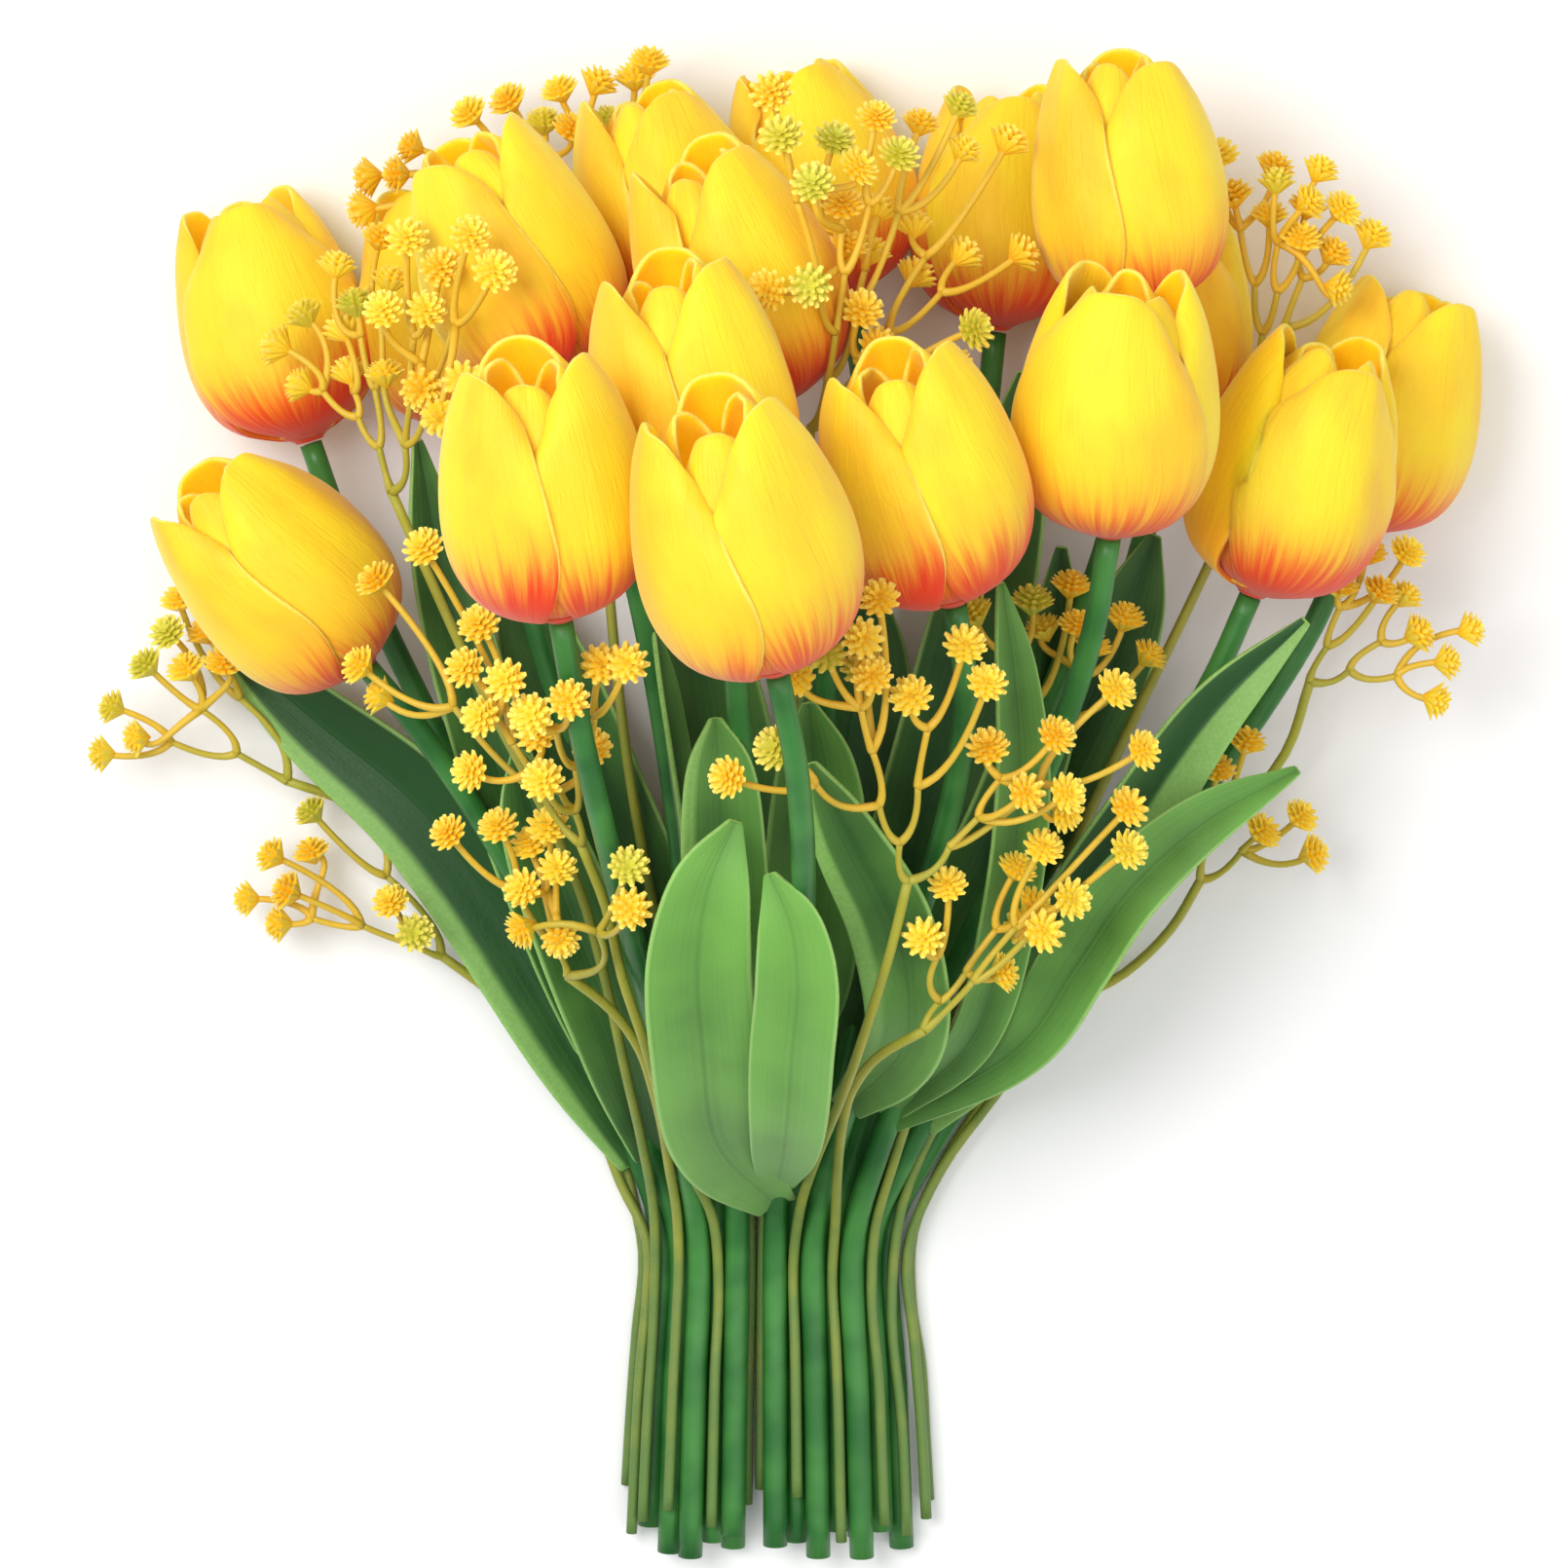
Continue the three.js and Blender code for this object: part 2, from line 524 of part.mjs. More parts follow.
// ---------------------------------------------------------------- sprays
// A spray is one mesh that grows from ring to ring. A ring is three vertices round its stalk.
class Growth extends Draft {
  // A ring round a heading, with its middle vertex on the side of the guide.
  ring(centre, heading, guide, radius) {
    const side = guide.clone().addScaledVector(heading, -guide.dot(heading)).normalize();
    return [-120, 0, 120].map((degrees) => {
      const offset = side.clone().applyAxisAngle(heading, rad(degrees)).multiplyScalar(radius);
      return this.vertex(offset.add(centre));
    });
  }

  offsets(ring) {
    const points = ring.map((vertex) => this.at(vertex));
    const centre = points[0].clone().add(points[1]).add(points[2]).divideScalar(3);
    return points.map((point) => point.sub(centre).normalize());
  }

  // The order of the high ring that twists least against the low one.
  matched(low, high) {
    const from = this.offsets(low);
    const to = this.offsets(high);
    const twist = (shift) => from.reduce((sum, offset, i) => (
      sum + offset.distanceToSquared(to[(i + shift) % 3])), 0);
    const shift = [0, 1, 2].reduce((best, next) => (twist(next) < twist(best) ? next : best));
    return [0, 1, 2].map((i) => high[(i + shift) % 3]);
  }

  tube(low, high) {
    const top = this.matched(low, high);
    for (let i = 0; i < 3; i += 1) {
      const j = (i + 1) % 3;
      this.index.push(low[i], low[j], top[j], low[i], top[j], top[i]);
    }
  }

  // A tube through the inner points of a path, from a ring to a ring.
  limb(low, path, high, radius) {
    let last = low;
    for (let i = 1; i + 1 < path.length; i += 1) {
      const heading = path[i + 1].clone().sub(path[i - 1]).normalize();
      const next = this.ring(path[i], heading, this.offsets(last)[1], radius);
      this.tube(last, next);
      last = next;
    }
    this.tube(last, high);
  }

  // A flower of pointed petals on the ring at the end of its arm.
  floret(ring, centre, outward) {
    const guide = this.at(ring[0]).sub(centre);
    const side = guide.addScaledVector(outward, -guide.dot(outward)).normalize();
    const count = FLORET.points * 2;
    const rim = [];
    for (let k = 0; k < count; k += 1) {
      const wide = k % 2 ? FLORET.waist : FLORET.radius;
      const turn = rad((360 * k) / count - 60);
      const point = side.clone().applyAxisAngle(outward, turn).multiplyScalar(wide).add(centre);
      rim.push(this.vertex(point.addScaledVector(outward, k % 2 ? FLORET.notch : FLORET.cupped)));
    }
    const top = this.vertex(centre.clone().addScaledVector(outward, FLORET.height / 2));
    const share = count / 3;
    for (let k = 0; k < count; k += 1) {
      const next = (k + 1) % count;
      this.index.push(ring[Math.floor(k / share)], rim[next], rim[k], top, rim[k], rim[next]);
    }
    for (let i = 0; i < 3; i += 1) {
      this.index.push(ring[i], ring[(i + 1) % 3], rim[(share * (i + 1)) % count]);
    }
  }
}

// A stalk runs beside the stems from its end to the neck, and on to its main fork.
function stalkPoints([name, neckX, neckZ, waySpots]) {
  const neck = vec(neckX, STEM.neck, neckZ);
  const end = vec(neckX * STEM.spread, STALK.end + STALK.stagger * (Number(name) % 4), neckZ);
  const way = waySpots.map(([px, py, z]) => spot(px, py, z));
  const line = smooth([end, end.clone().lerp(neck, 0.5), neck, ...way]);
  const points = line.getSpacedPoints(STALK.steps).map((point) => clearOf(point, STALK.radius));
  return clearPath(points, STALK.radius, false);
}

// A curved arm that leaves its fork sideways and turns towards its tip.
function armPoints(fork, tip, heading) {
  const span = tip.clone().sub(fork);
  const side = span.clone().addScaledVector(heading, -span.dot(heading) * 0.7);
  const first = fork.clone().addScaledVector(side, 0.45);
  const last = tip.clone().addScaledVector(heading, -0.3 * span.length());
  const bend = new THREE.CubicBezierCurve3(fork, first, last, tip);
  return clearPath([fork, bend.getPoint(0.5), tip], STALK.arm, true);
}

const middleOf = (points) => (
  points.reduce((sum, point) => sum.add(point), vec(0, 0, 0)).divideScalar(points.length));

// Points every few millimetres of a path.
function alongPath(path) {
  const points = [path[0]];
  for (let i = 0; i + 1 < path.length; i += 1) {
    const count = Math.ceil(path[i].distanceTo(path[i + 1]) / (2 * STALK.radius));
    for (let part = 1; part <= count; part += 1) {
      points.push(path[i].clone().lerp(path[i + 1], part / count));
    }
  }
  return points;
}

// The groups of a fork, or the tips of its only group, in two halves from side to side.
function halved(from, heading, groups) {
  const items = groups.length > 1 ? groups : groups[0].map((tip) => [tip]);
  const across = heading.clone().cross(vec(0, 0, 1));
  const turn = (item) => {
    const span = middleOf(item).sub(from);
    return Math.atan2(span.dot(across), span.dot(heading));
  };
  const ordered = [...items].sort((a, b) => turn(a) - turn(b));
  const half = Math.ceil(ordered.length / 2);
  const halves = [ordered.slice(0, half), ordered.slice(half)];
  return groups.length > 1 ? halves : halves.map((part) => [part.flat()]);
}

// Where the next fork goes, so that all the arms up to the tips are alike in length.
function forkPoint(from, groups) {
  const most = Math.max(...groups.map((group) => group.length));
  const forks = Math.ceil(Math.log2(groups.length)) + Math.ceil(Math.log2(most));
  return clearOf(from.clone().lerp(middleOf(groups.flat()), 1 / (1 + forks)), STALK.arm);
}

// Forks again and again. Each half of the tips gets an arm, and a fork of its own.
function branch(growth, from, path, inward, groups) {
  const ahead = middleOf(groups.flat()).sub(from).normalize();
  const heading = inward.clone().add(ahead).normalize();
  const halves = halved(from, heading, groups);
  const lone = (part) => part.flat().length === 1;
  const goals = halves.map((part) => (lone(part) ? part[0][0] : forkPoint(from, part)));
  const apart = goals[1].clone().sub(goals[0]);
  apart.addScaledVector(heading, -apart.dot(heading)).normalize();
  const end = growth.ring(from, heading, apart.clone().cross(heading), STALK.radius);
  growth.limb(path.ring, path.points, end, STALK.arm);
  const crotch = growth.vertex(from.clone().addScaledVector(heading, STALK.arm));
  growth.index.push(end[2], end[0], crotch);
  const bases = [[end[0], end[1], crotch], [end[1], end[2], crotch]];
  halves.forEach((part, i) => {
    const arm = armPoints(from, goals[i], heading);
    const onward = goals[i].clone().sub(arm[1]).normalize();
    take(alongPath(arm), STALK.arm);
    if (!lone(part)) {
      branch(growth, goals[i], { ring: bases[i], points: arm }, onward, part);
    } else {
      const foot = goals[i].clone().addScaledVector(onward, -FLORET.height / 2);
      const ring = growth.ring(foot, onward, growth.offsets(bases[i])[1], STALK.arm);
      growth.limb(bases[i], [arm[0], arm[1], foot], ring, STALK.arm);
      growth.floret(ring, goals[i], onward);
    }
  });
}

function spraySolid(row) {
  const growth = new Growth();
  const stalk = stalkPoints(row);
  const last = stalk.length - 1;
  const heading = stalk[last].clone().sub(stalk[last - 1]).normalize();
  const start = stalk[1].clone().sub(stalk[0]).normalize();
  const foot = growth.ring(stalk[0], start, vec(0, 0, 1), STALK.radius);
  growth.index.push(foot[2], foot[1], foot[0]);
  take(alongPath(stalk), STALK.radius);
  const groups = row[4].map(([height, spots]) => spots
    .filter((place, index) => index % 3 !== 2)
    .map(([px, py]) => {
      const tip = clearOf(spot(px, py, height), FLORET.radius);
      take([tip], FLORET.radius);
      return tip;
    }));
  branch(growth, stalk[last], { ring: foot, points: stalk }, heading, groups);
  return growth.solid();
}

// ---------------------------------------------------------------- the bunch
const bunch = new THREE.Group();

function addBlooms() {
  for (const row of TULIPS) {
    const frame = bloomFrame(row);
    const solid = restedOnSurface(placed(bloomSolid(row[6], row[7]), frame));
    bunch.add(meshOf(`tulip_${row[0]}_bloom`, solid, COLOUR.petal, 0.6));
    takeBloom(frame);
  }
}

function addLeafyStems() {
  for (const row of TULIPS) {
    const points = stemPoints(row, bloomFrame(row));
    const parts = [rod(points, STEM.radius, STEM.sides, STEM.steps)];
    take(smooth(points).getSpacedPoints(70), STEM.radius);
    for (const leaf of LEAVES.filter(([owner]) => owner === row[0])) {
      parts.push(leafSolid(points, leaf));
      take(leafGrid(points, leaf, 24, 6).flat().map(({ front }) => front), LEAF.thick);
    }
    const solid = restedOnSurface(joined(parts));
    bunch.add(meshOf(`tulip_${row[0]}_leafy_stem`, solid, COLOUR.leaf, 0.5));
  }
}

function addSprays() {
  for (const row of SPRAYS) {
    bunch.add(meshOf(`spray_${row[0]}`, spraySolid(row), COLOUR.floret, 0.5));
  }
}

addBlooms();
addLeafyStems();
addSprays();
bunch.position.set(-CENTRE.x, -CENTRE.y, 0);

export default bunch;
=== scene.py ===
# A lying bunch of seventeen yellow and orange tulips, with folded leaves and sprays of golden
# florets. The script works in millimetres, and the finished meshes are in metres, in the packed
# model's frame.
import math
import random

import bmesh
import bpy
import numpy as np
from mathutils import Matrix, Vector


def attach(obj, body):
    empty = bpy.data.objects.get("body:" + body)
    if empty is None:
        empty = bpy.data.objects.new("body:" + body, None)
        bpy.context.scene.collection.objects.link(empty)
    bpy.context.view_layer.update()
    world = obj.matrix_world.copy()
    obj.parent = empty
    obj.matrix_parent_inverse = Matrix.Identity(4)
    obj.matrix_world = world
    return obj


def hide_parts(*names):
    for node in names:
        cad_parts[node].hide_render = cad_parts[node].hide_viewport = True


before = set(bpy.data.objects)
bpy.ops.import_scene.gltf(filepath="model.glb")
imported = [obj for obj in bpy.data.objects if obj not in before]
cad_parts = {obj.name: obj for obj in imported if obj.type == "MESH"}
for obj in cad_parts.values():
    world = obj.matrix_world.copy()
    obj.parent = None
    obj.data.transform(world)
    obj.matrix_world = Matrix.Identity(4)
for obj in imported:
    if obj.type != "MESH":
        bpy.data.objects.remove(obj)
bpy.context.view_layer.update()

MM = 0.001

# ---------------------------------------------------------------- driving dimensions
BLOOM = {"length": 57, "radius": 20.8, "inset": 2.9}
PETAL = {"thick": 1.45, "outer_half": 66, "inner_half": 54, "overlap": 0.75}
RECEPTACLE = {"height": 2.6, "low": 3.1, "high": 6.6}
STEM = {"radius": 2.8, "end": -186, "stagger": 0.035, "neck": -112, "spread": 1.12}
LEAF_THICK = 1.2
# Leaves with a pale band along one edge (-1 left, 1 right), its share of their width, and how much
# darker the rest is, painted shade inside the folded leaf.
BANDS = {"leaf_01_1": (-1, 0.18, 0.36), "leaf_16_1": (1, 0.42, 0.3), "leaf_07_1": (-1, 0.16, 0.2),
         "leaf_11_1": (-1, 0.2, 0.2)}
STALK = {"radius": 1.15, "arm": 0.8, "steps": 11, "joint": 2.6, "end": -182, "stagger": 3.5}
FLORET = {"radius": 4.4, "height": 4.2}
GAP = 0.35
SKIN = 0.02
CENTRE = {"x": 1.57, "y": -14.05}

# The bunch is seen from above, a little from the side of the heads. The spots below are places in
# that view: pixels right and down of a 1610 pixel frame, and a height over the surface in mm.
VIEW = {"middle": 805, "scale": 0.207, "distance": 1300, "tilt": 8.5, "x": 2, "y": 4, "z": 85}

# Each bloom: name, spot of its middle, height, lean in the view, rise of its tip, turn of its
# petals, size, and where its stem passes the neck (x and height).
TULIPS = [
    ["01", 281, 328, 20.2, -16, 0, 55, 0.98, -26, 2.38],
    ["02", 288, 588, 52, -40, 14, 124, 1.0, -21.7, 6.6],
    ["03", 527, 266, 70, -24, 8, 10, 1.0, -13, 6.5],
    ["04", 467, 318, 19.4, -12, 0, 30, 0.95, -17.4, 2.38],
    ["05", 690, 224, 42, -14, 5, 80, 0.98, -8.7, 2.38],
    ["06", 757, 288, 80, -20, 9, 85, 1.0, 4.4, 6.5],
    ["07", 707, 408, 116, -11, 12, 94, 1.0, -8.7, 10.6],
    ["08", 556, 502, 143, -7, 16, 98, 1.0, -17.4, 10.6],
    ["09", 762, 554, 155, -14, 17, 96, 1.05, 0, 10.6],
    ["10", 842, 186, 19, -14, 0, 60, 0.93, 0, 2.38],
    ["11", 946, 492, 113, -15, 16, 100, 1.0, 8.8, 10.6],
    ["12", 1029, 215, 19, 3, 0, 40, 0.93, 8.7, 2.38],
    ["13", 1157, 190, 58, -6, 6, 82, 0.97, 13.1, 6.5],
    ["14", 1149, 418, 96, 3, 14, 18, 1.0, 17.7, 11.2],
    ["15", 1199, 330, 18.4, 3, 0, 20, 0.9, 17.4, 2.38],
    ["16", 1330, 482, 59, 18, 8, 38, 1.02, 21.9, 6.5],
    ["17", 1423, 422, 20, 15, 0, 60, 0.98, 26, 2.38],
]

# Each leaf: its stem, half width, fold and roll in degrees, and the spots along its rib from root
# to tip.
LEAVES = [
    ["01", 13, 16, -8, [[660, 1200, 5], [590, 1070, 11], [507, 930, 14], [425, 825, 15],
        [325, 742, 13], [222, 655, 10]]],
    ["02", 11, 20, 10, [[672, 1190, 14], [628, 1050, 33], [590, 950, 42], [552, 850, 46],
        [530, 770, 46]]],
    ["09", 12, 12, 8, [[760, 1250, 30], [735, 1170, 62], [722, 1080, 86], [716, 990, 100],
        [728, 910, 106], [756, 842, 106]]],
    ["09", 9.5, 8, -14, [[790, 1240, 36], [808, 1165, 72], [814, 1085, 92], [820, 1010, 104],
        [812, 950, 110], [790, 896, 110]]],
    ["07", 10, 18, 10, [[762, 1110, 48], [752, 1000, 72], [742, 900, 84], [738, 800, 90],
        [734, 736, 92]]],
    ["03", 6, 30, 62, [[735, 1120, 22], [716, 980, 40], [700, 860, 52], [684, 740, 60],
        [672, 648, 64]]],
    ["11", 10, 14, -18, [[875, 1150, 38], [932, 1060, 66], [918, 950, 84], [872, 860, 93],
        [832, 782, 98]]],
    ["14", 7, 22, 20, [[930, 1150, 36], [1000, 1060, 52], [1034, 930, 68], [1046, 800, 78],
        [1040, 690, 84], [1027, 597, 86]]],
    ["16", 10, 26, 8, [[960, 1160, 20], [1030, 1060, 36], [1100, 940, 48], [1165, 840, 54],
        [1245, 728, 60], [1342, 636, 64]]],
    ["14", 8.5, 16, -16, [[950, 1160, 32], [1050, 1070, 52], [1105, 990, 62], [1160, 912, 66],
        [1235, 845, 66], [1334, 790, 60]]],
    ["17", 8, 20, 0, [[965, 1130, 8], [1040, 1020, 16], [1110, 920, 20], [1190, 800, 24],
        [1276, 700, 26]]],
    ["15", 12, 18, 8, [[900, 1100, 9], [985, 960, 14], [1070, 810, 17], [1145, 660, 19],
        [1186, 548, 21]]],
    ["12", 12, 18, -6, [[858, 1080, 9], [930, 900, 25], [990, 700, 31], [1030, 530, 34],
        [1052, 380, 36]]],
    ["13", 10, 20, 12, [[900, 1090, 18], [965, 970, 27], [1030, 840, 33], [1075, 700, 35],
        [1090, 560, 37]]],
    ["10", 15, 14, 6, [[812, 1060, 9], [835, 940, 14], [860, 820, 16], [880, 700, 17],
        [890, 590, 19]]],
    ["05", 14, 14, -6, [[770, 1060, 10], [760, 930, 23], [742, 800, 31], [722, 680, 36],
        [708, 590, 38]]],
    ["04", 13, 16, -8, [[708, 1070, 9], [660, 940, 14], [610, 810, 16], [565, 690, 17],
        [520, 570, 19]]],
    ["01", 9, 20, 14, [[630, 1110, 9], [560, 930, 20], [500, 760, 28], [455, 600, 30],
        [428, 450, 34]]],
    ["06", 12, 18, 10, [[815, 1080, 30], [830, 950, 44], [836, 820, 56], [830, 720, 64]]],
]

# Each spray: where its stalk passes the neck, the spots along its stalk up to its main fork, and
# the groups of florets on its side forks. A group is a height and the spots of its florets.
SPRAYS = [
    ["01", -27.2, 7.6, [[640, 1090, 36], [590, 900, 52], [490, 700, 56], [402, 505, 62]], [
        [56, [[283, 354], [306, 394], [324, 333], [352, 336], [357, 377]]],
        [60, [[346, 270], [401, 285], [374, 408], [395, 259], [369, 306]]],
        [92, [[418, 243], [455, 273], [410, 317], [438, 317], [434, 401]]],
        [104, [[508, 278], [485, 242], [459, 420], [476, 391]]],
    ]],
    ["02", -5.8, 5.7, [[748, 1080, 12], [690, 985, 14.5], [652, 830, 25.5], [625, 600, 28],
        [606, 240, 20]], [
        [24, [[376, 182], [420, 150], [396, 207], [411, 170]]],
        [26, [[480, 115], [483, 138], [515, 126], [522, 154], [553, 128]]],
        [30, [[571, 96], [597, 86], [602, 114], [631, 117]]],
        [26, [[638, 79], [655, 73], [655, 115]]],
    ]],
    ["03", -3, 5.6, [[806, 900, 40], [822, 560, 74], [832, 440, 84]], [
        [108, [[784, 301], [827, 294], [834, 187], [802, 138], [798, 121]]],
        [92, [[858, 142], [900, 119], [876, 136], [865, 208], [916, 145]]],
        [76, [[946, 124], [979, 110], [974, 145], [904, 212], [895, 254]]],
        [66, [[1037, 143], [990, 259], [942, 280], [1051, 259], [939, 229]]],
        [88, [[865, 317], [897, 342], [856, 268], [1002, 338], [986, 375]]],
    ]],
    ["04", 27, 6.9, [[1120, 830, 26], [1280, 480, 28], [1291, 387, 30]], [
        [40, [[1251, 157], [1265, 198], [1288, 194], [1296, 214]]],
        [44, [[1309, 191], [1316, 200], [1345, 191], [1330, 222], [1372, 212]]],
        [40, [[1410, 240], [1382, 243], [1372, 268], [1351, 212]]],
    ]],
    ["05", 31, 5.3, [[1155, 955, 17], [1310, 790, 22], [1345, 700, 34]], [
        [42, [[1403, 566], [1386, 587], [1423, 566], [1414, 594]]],
        [38, [[1435, 608], [1456, 643], [1477, 664], [1488, 679], [1482, 701]]],
    ]],
    ["06", 31.6, 1.8, [[1080, 1045, 1.5], [1178, 983, 5], [1233, 903, 15]], [
        [24, [[1337, 837], [1309, 848], [1344, 858]]],
        [30, [[1242, 784], [1267, 767]]],
    ]],
    ["07", -30.6, 1.8, [[575, 1010, 2.5], [400, 845, 4], [295, 802, 12]], [
        [20, [[183, 614], [200, 635], [225, 679]]],
        [24, [[148, 681], [169, 683], [167, 656]]],
        [20, [[102, 774], [113, 725], [128, 748]]],
    ]],
    ["08", -29.5, 5.4, [[551, 1062, 4], [453, 981, 8]], [
        [14, [[323, 827], [358, 816], [318, 856]]],
        [16, [[251, 923], [277, 877], [288, 891], [272, 939]]],
        [27, [[400, 925], [424, 955]]],
    ]],
    ["09", -13.05, 12.3, [[690, 1165, 40], [664, 1080, 62], [622, 930, 80], [596, 866, 88]], [
        [81, [[385, 594], [367, 682], [399, 707]]],
        [98, [[434, 561], [476, 685], [490, 640], [492, 736]]],
        [134, [[645, 680], [518, 698], [553, 717], [585, 715], [613, 696]]],
        [106, [[481, 792], [550, 752], [555, 799], [608, 766]]],
    ]],
    ["10", -21.9, 10.9, [[668, 1110, 44], [640, 1050, 56], [583, 1002, 66]], [
        [82, [[459, 854], [511, 847], [534, 868]]],
        [84, [[567, 847], [569, 875], [550, 938], [538, 910], [576, 966]]],
        [108, [[646, 889], [657, 928]]],
    ]],
    ["11", 4.4, 12.3, [[876, 1095, 76], [912, 985, 92], [932, 905, 100]], [
        [124, [[746, 798], [795, 768], [816, 695]]],
        [128, [[904, 610], [848, 670], [897, 635], [895, 693]]],
        [120, [[935, 714], [991, 661], [891, 728], [1012, 696]]],
        [104, [[1086, 754], [1014, 766], [1050, 828], [1097, 814]]],
        [96, [[1147, 707], [1175, 770], [1096, 833]]],
    ]],
    ["12", 13.5, 12.9, [[886, 1100, 68], [949, 1058, 82]], [
        [92, [[949, 959], [960, 920]]],
        [80, [[1032, 998], [1039, 886], [1030, 970], [1060, 921]]],
        [92, [[1160, 872], [1072, 869], [1160, 851], [1102, 923], [1079, 949]]],
    ]],
    ["13", 22.3, 10.9, [[1000, 980, 34], [1060, 780, 42]], [
        [52, [[998, 628], [1060, 615], [1081, 619], [1095, 601]]],
        [48, [[1182, 671], [1123, 661], [1072, 657], [1144, 643]]],
    ]],
]


# ---------------------------------------------------------------- small helpers
def vec(x, y, z):
    return np.array([x, y, z], float)


def length(v):
    return math.sqrt(float(v @ v))


def unit(v):
    size = length(v)
    return v / size if size > 0 else v


def turned(v, axis, degrees):
    """A vector turned round an axis."""
    return np.array(Matrix.Rotation(math.radians(degrees), 3, Vector(axis)) @ Vector(v))


def clamp(value, low=0.0, high=1.0):
    return max(low, min(high, value))


def ramp(value, low, high):
    """0 below low, 1 above high, and a smooth rise between them."""
    part = clamp((value - low) / (high - low))
    return part * part * (3 - 2 * part)


def shipped(point):
    """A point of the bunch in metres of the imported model's frame."""
    return Vector(((point[0] - CENTRE["x"]) * MM, (point[1] - CENTRE["y"]) * MM, point[2] * MM))


def spot(px, py, z):
    """The place of a spot of the view at a height over the surface."""
    across = (px - VIEW["middle"]) * VIEW["scale"] / VIEW["distance"]
    up = (VIEW["middle"] - py) * VIEW["scale"] / VIEW["distance"]
    sin = math.sin(math.radians(VIEW["tilt"]))
    cos = math.cos(math.radians(VIEW["tilt"]))
    rise = z - VIEW["z"]
    y = (up * (VIEW["distance"] - rise * cos) + rise * sin) / (cos + up * sin)
    depth = VIEW["distance"] - y * sin - rise * cos
    return vec(across * depth + VIEW["x"], y + VIEW["y"], z)


def eased(values, at):
    """A value between the entries of a list, with a level start at each entry."""
    last = len(values) - 1
    index = min(int(at * last), last - 1)
    return values[index] + (values[index + 1] - values[index]) * ramp(at * last - index, 0, 1)


def profile(values, at):
    """A smooth curve through the entries of a list, from 0 to 1."""
    last = len(values) - 1
    index = min(int(clamp(at) * last), last - 1)
    part = clamp(at) * last - index
    before = values[index - 1] if index else 2 * values[0] - values[1]
    a, b = values[index], values[index + 1]
    after = values[index + 2] if index + 2 <= last else 2 * values[last] - values[last - 1]
    slope_a, slope_b = (b - before) / 2, (after - a) / 2
    return (a + slope_a * part + (3 * (b - a) - 2 * slope_a - slope_b) * part ** 2
            + (2 * (a - b) + slope_a + slope_b) * part ** 3)


class Line:
    """A smooth curve through points, spaced by the root of their distances."""

    def __init__(self, points):
        self.points = [np.array(p, float) for p in points]

    def point(self, t):
        pts = self.points
        last = len(pts) - 1
        index = min(int(last * t), last - 1)
        part = last * t - index
        p0 = pts[index - 1] if index > 0 else 2 * pts[0] - pts[1]
        p1, p2 = pts[index], pts[index + 1]
        p3 = pts[index + 2] if index + 2 <= last else 2 * pts[last] - pts[last - 1]
        d0, d1, d2 = (math.sqrt(length(b - a)) for a, b in ((p0, p1), (p1, p2), (p2, p3)))
        d1 = d1 if d1 > 1e-4 else 1.0
        d0 = d0 if d0 > 1e-4 else d1
        d2 = d2 if d2 > 1e-4 else d1
        t1 = ((p1 - p0) / d0 - (p2 - p0) / (d0 + d1) + (p2 - p1) / d1) * d1
        t2 = ((p2 - p1) / d1 - (p3 - p1) / (d1 + d2) + (p3 - p2) / d2) * d1
        return (p1 + t1 * part + (3 * (p2 - p1) - 2 * t1 - t2) * part ** 2
                + (2 * (p1 - p2) + t1 + t2) * part ** 3)

    def tangent(self, t):
        step = 0.0001
        return unit(self.point(min(1, t + step)) - self.point(max(0, t - step)))

    def spaced(self, count, checks=200):
        """Points at even distances along the curve."""
        line = np.array([self.point(i / checks) for i in range(checks + 1)])
        steps = np.linalg.norm(line[1:] - line[:-1], axis=1)
        run = np.concatenate([[0], np.cumsum(steps)])
        places = np.interp([run[-1] * i / count for i in range(count + 1)], run,
                           np.arange(checks + 1) / checks)
        return [self.point(t) for t in places]


def bezier(a, b, c, d, t):
    s = 1 - t
    return s ** 3 * a + 3 * s * s * t * b + 3 * s * t * t * c + t ** 3 * d


# ---------------------------------------------------------------- keeping clear
class Balls:
    """Balls that finished pieces leave along themselves. Later sprays bend round them."""

    def __init__(self):
        self.at = np.zeros((0, 3))
        self.radius = np.zeros(0)

    def take(self, points, radius):
        self.at = np.vstack([self.at, np.array(points).reshape(-1, 3)])
        self.radius = np.concatenate([self.radius, np.full(len(points), float(radius))])

    def clear_of(self, point, radius, joints=()):
        """The nearest place of a ball that is clear, apart from what lies round the joints."""
        near = np.linalg.norm(self.at - point, axis=1) < self.radius + radius + 30
        for joint in joints:
            near &= np.linalg.norm(self.at - joint, axis=1) > STALK["joint"]
        at, need = self.at[near], self.radius[near] + radius + GAP
        free = np.array(point, float)
        for _ in range(14):
            moved = False
            start = 0
            while start < len(at):
                short = np.linalg.norm(free - at[start:], axis=1) < need[start:]
                if not short.any():
                    break
                hit = start + int(np.argmax(short))
                free = at[hit] + unit(free - at[hit]) * need[hit]
                moved = True
                start = hit + 1
            if free[2] < radius:
                free[2] = radius
                moved = True
            if not moved:
                break
        return free

    def clear_path(self, points, radius, ends_stay):
        path = [np.array(p, float) for p in points]
        joints = (points[0], points[-1]) if ends_stay else ()
        for _ in range(8):
            for i in range(len(path) - 1):
                for part in (0.2, 0.5, 0.8):
                    at = path[i] + (path[i + 1] - path[i]) * part
                    push = self.clear_of(at, radius, joints) - at
                    if not ends_stay or i > 0:
                        path[i] = path[i] + push * (1 - part)
                    if not ends_stay or i + 1 < len(path) - 1:
                        path[i + 1] = path[i + 1] + push * part
        return path


balls = Balls()


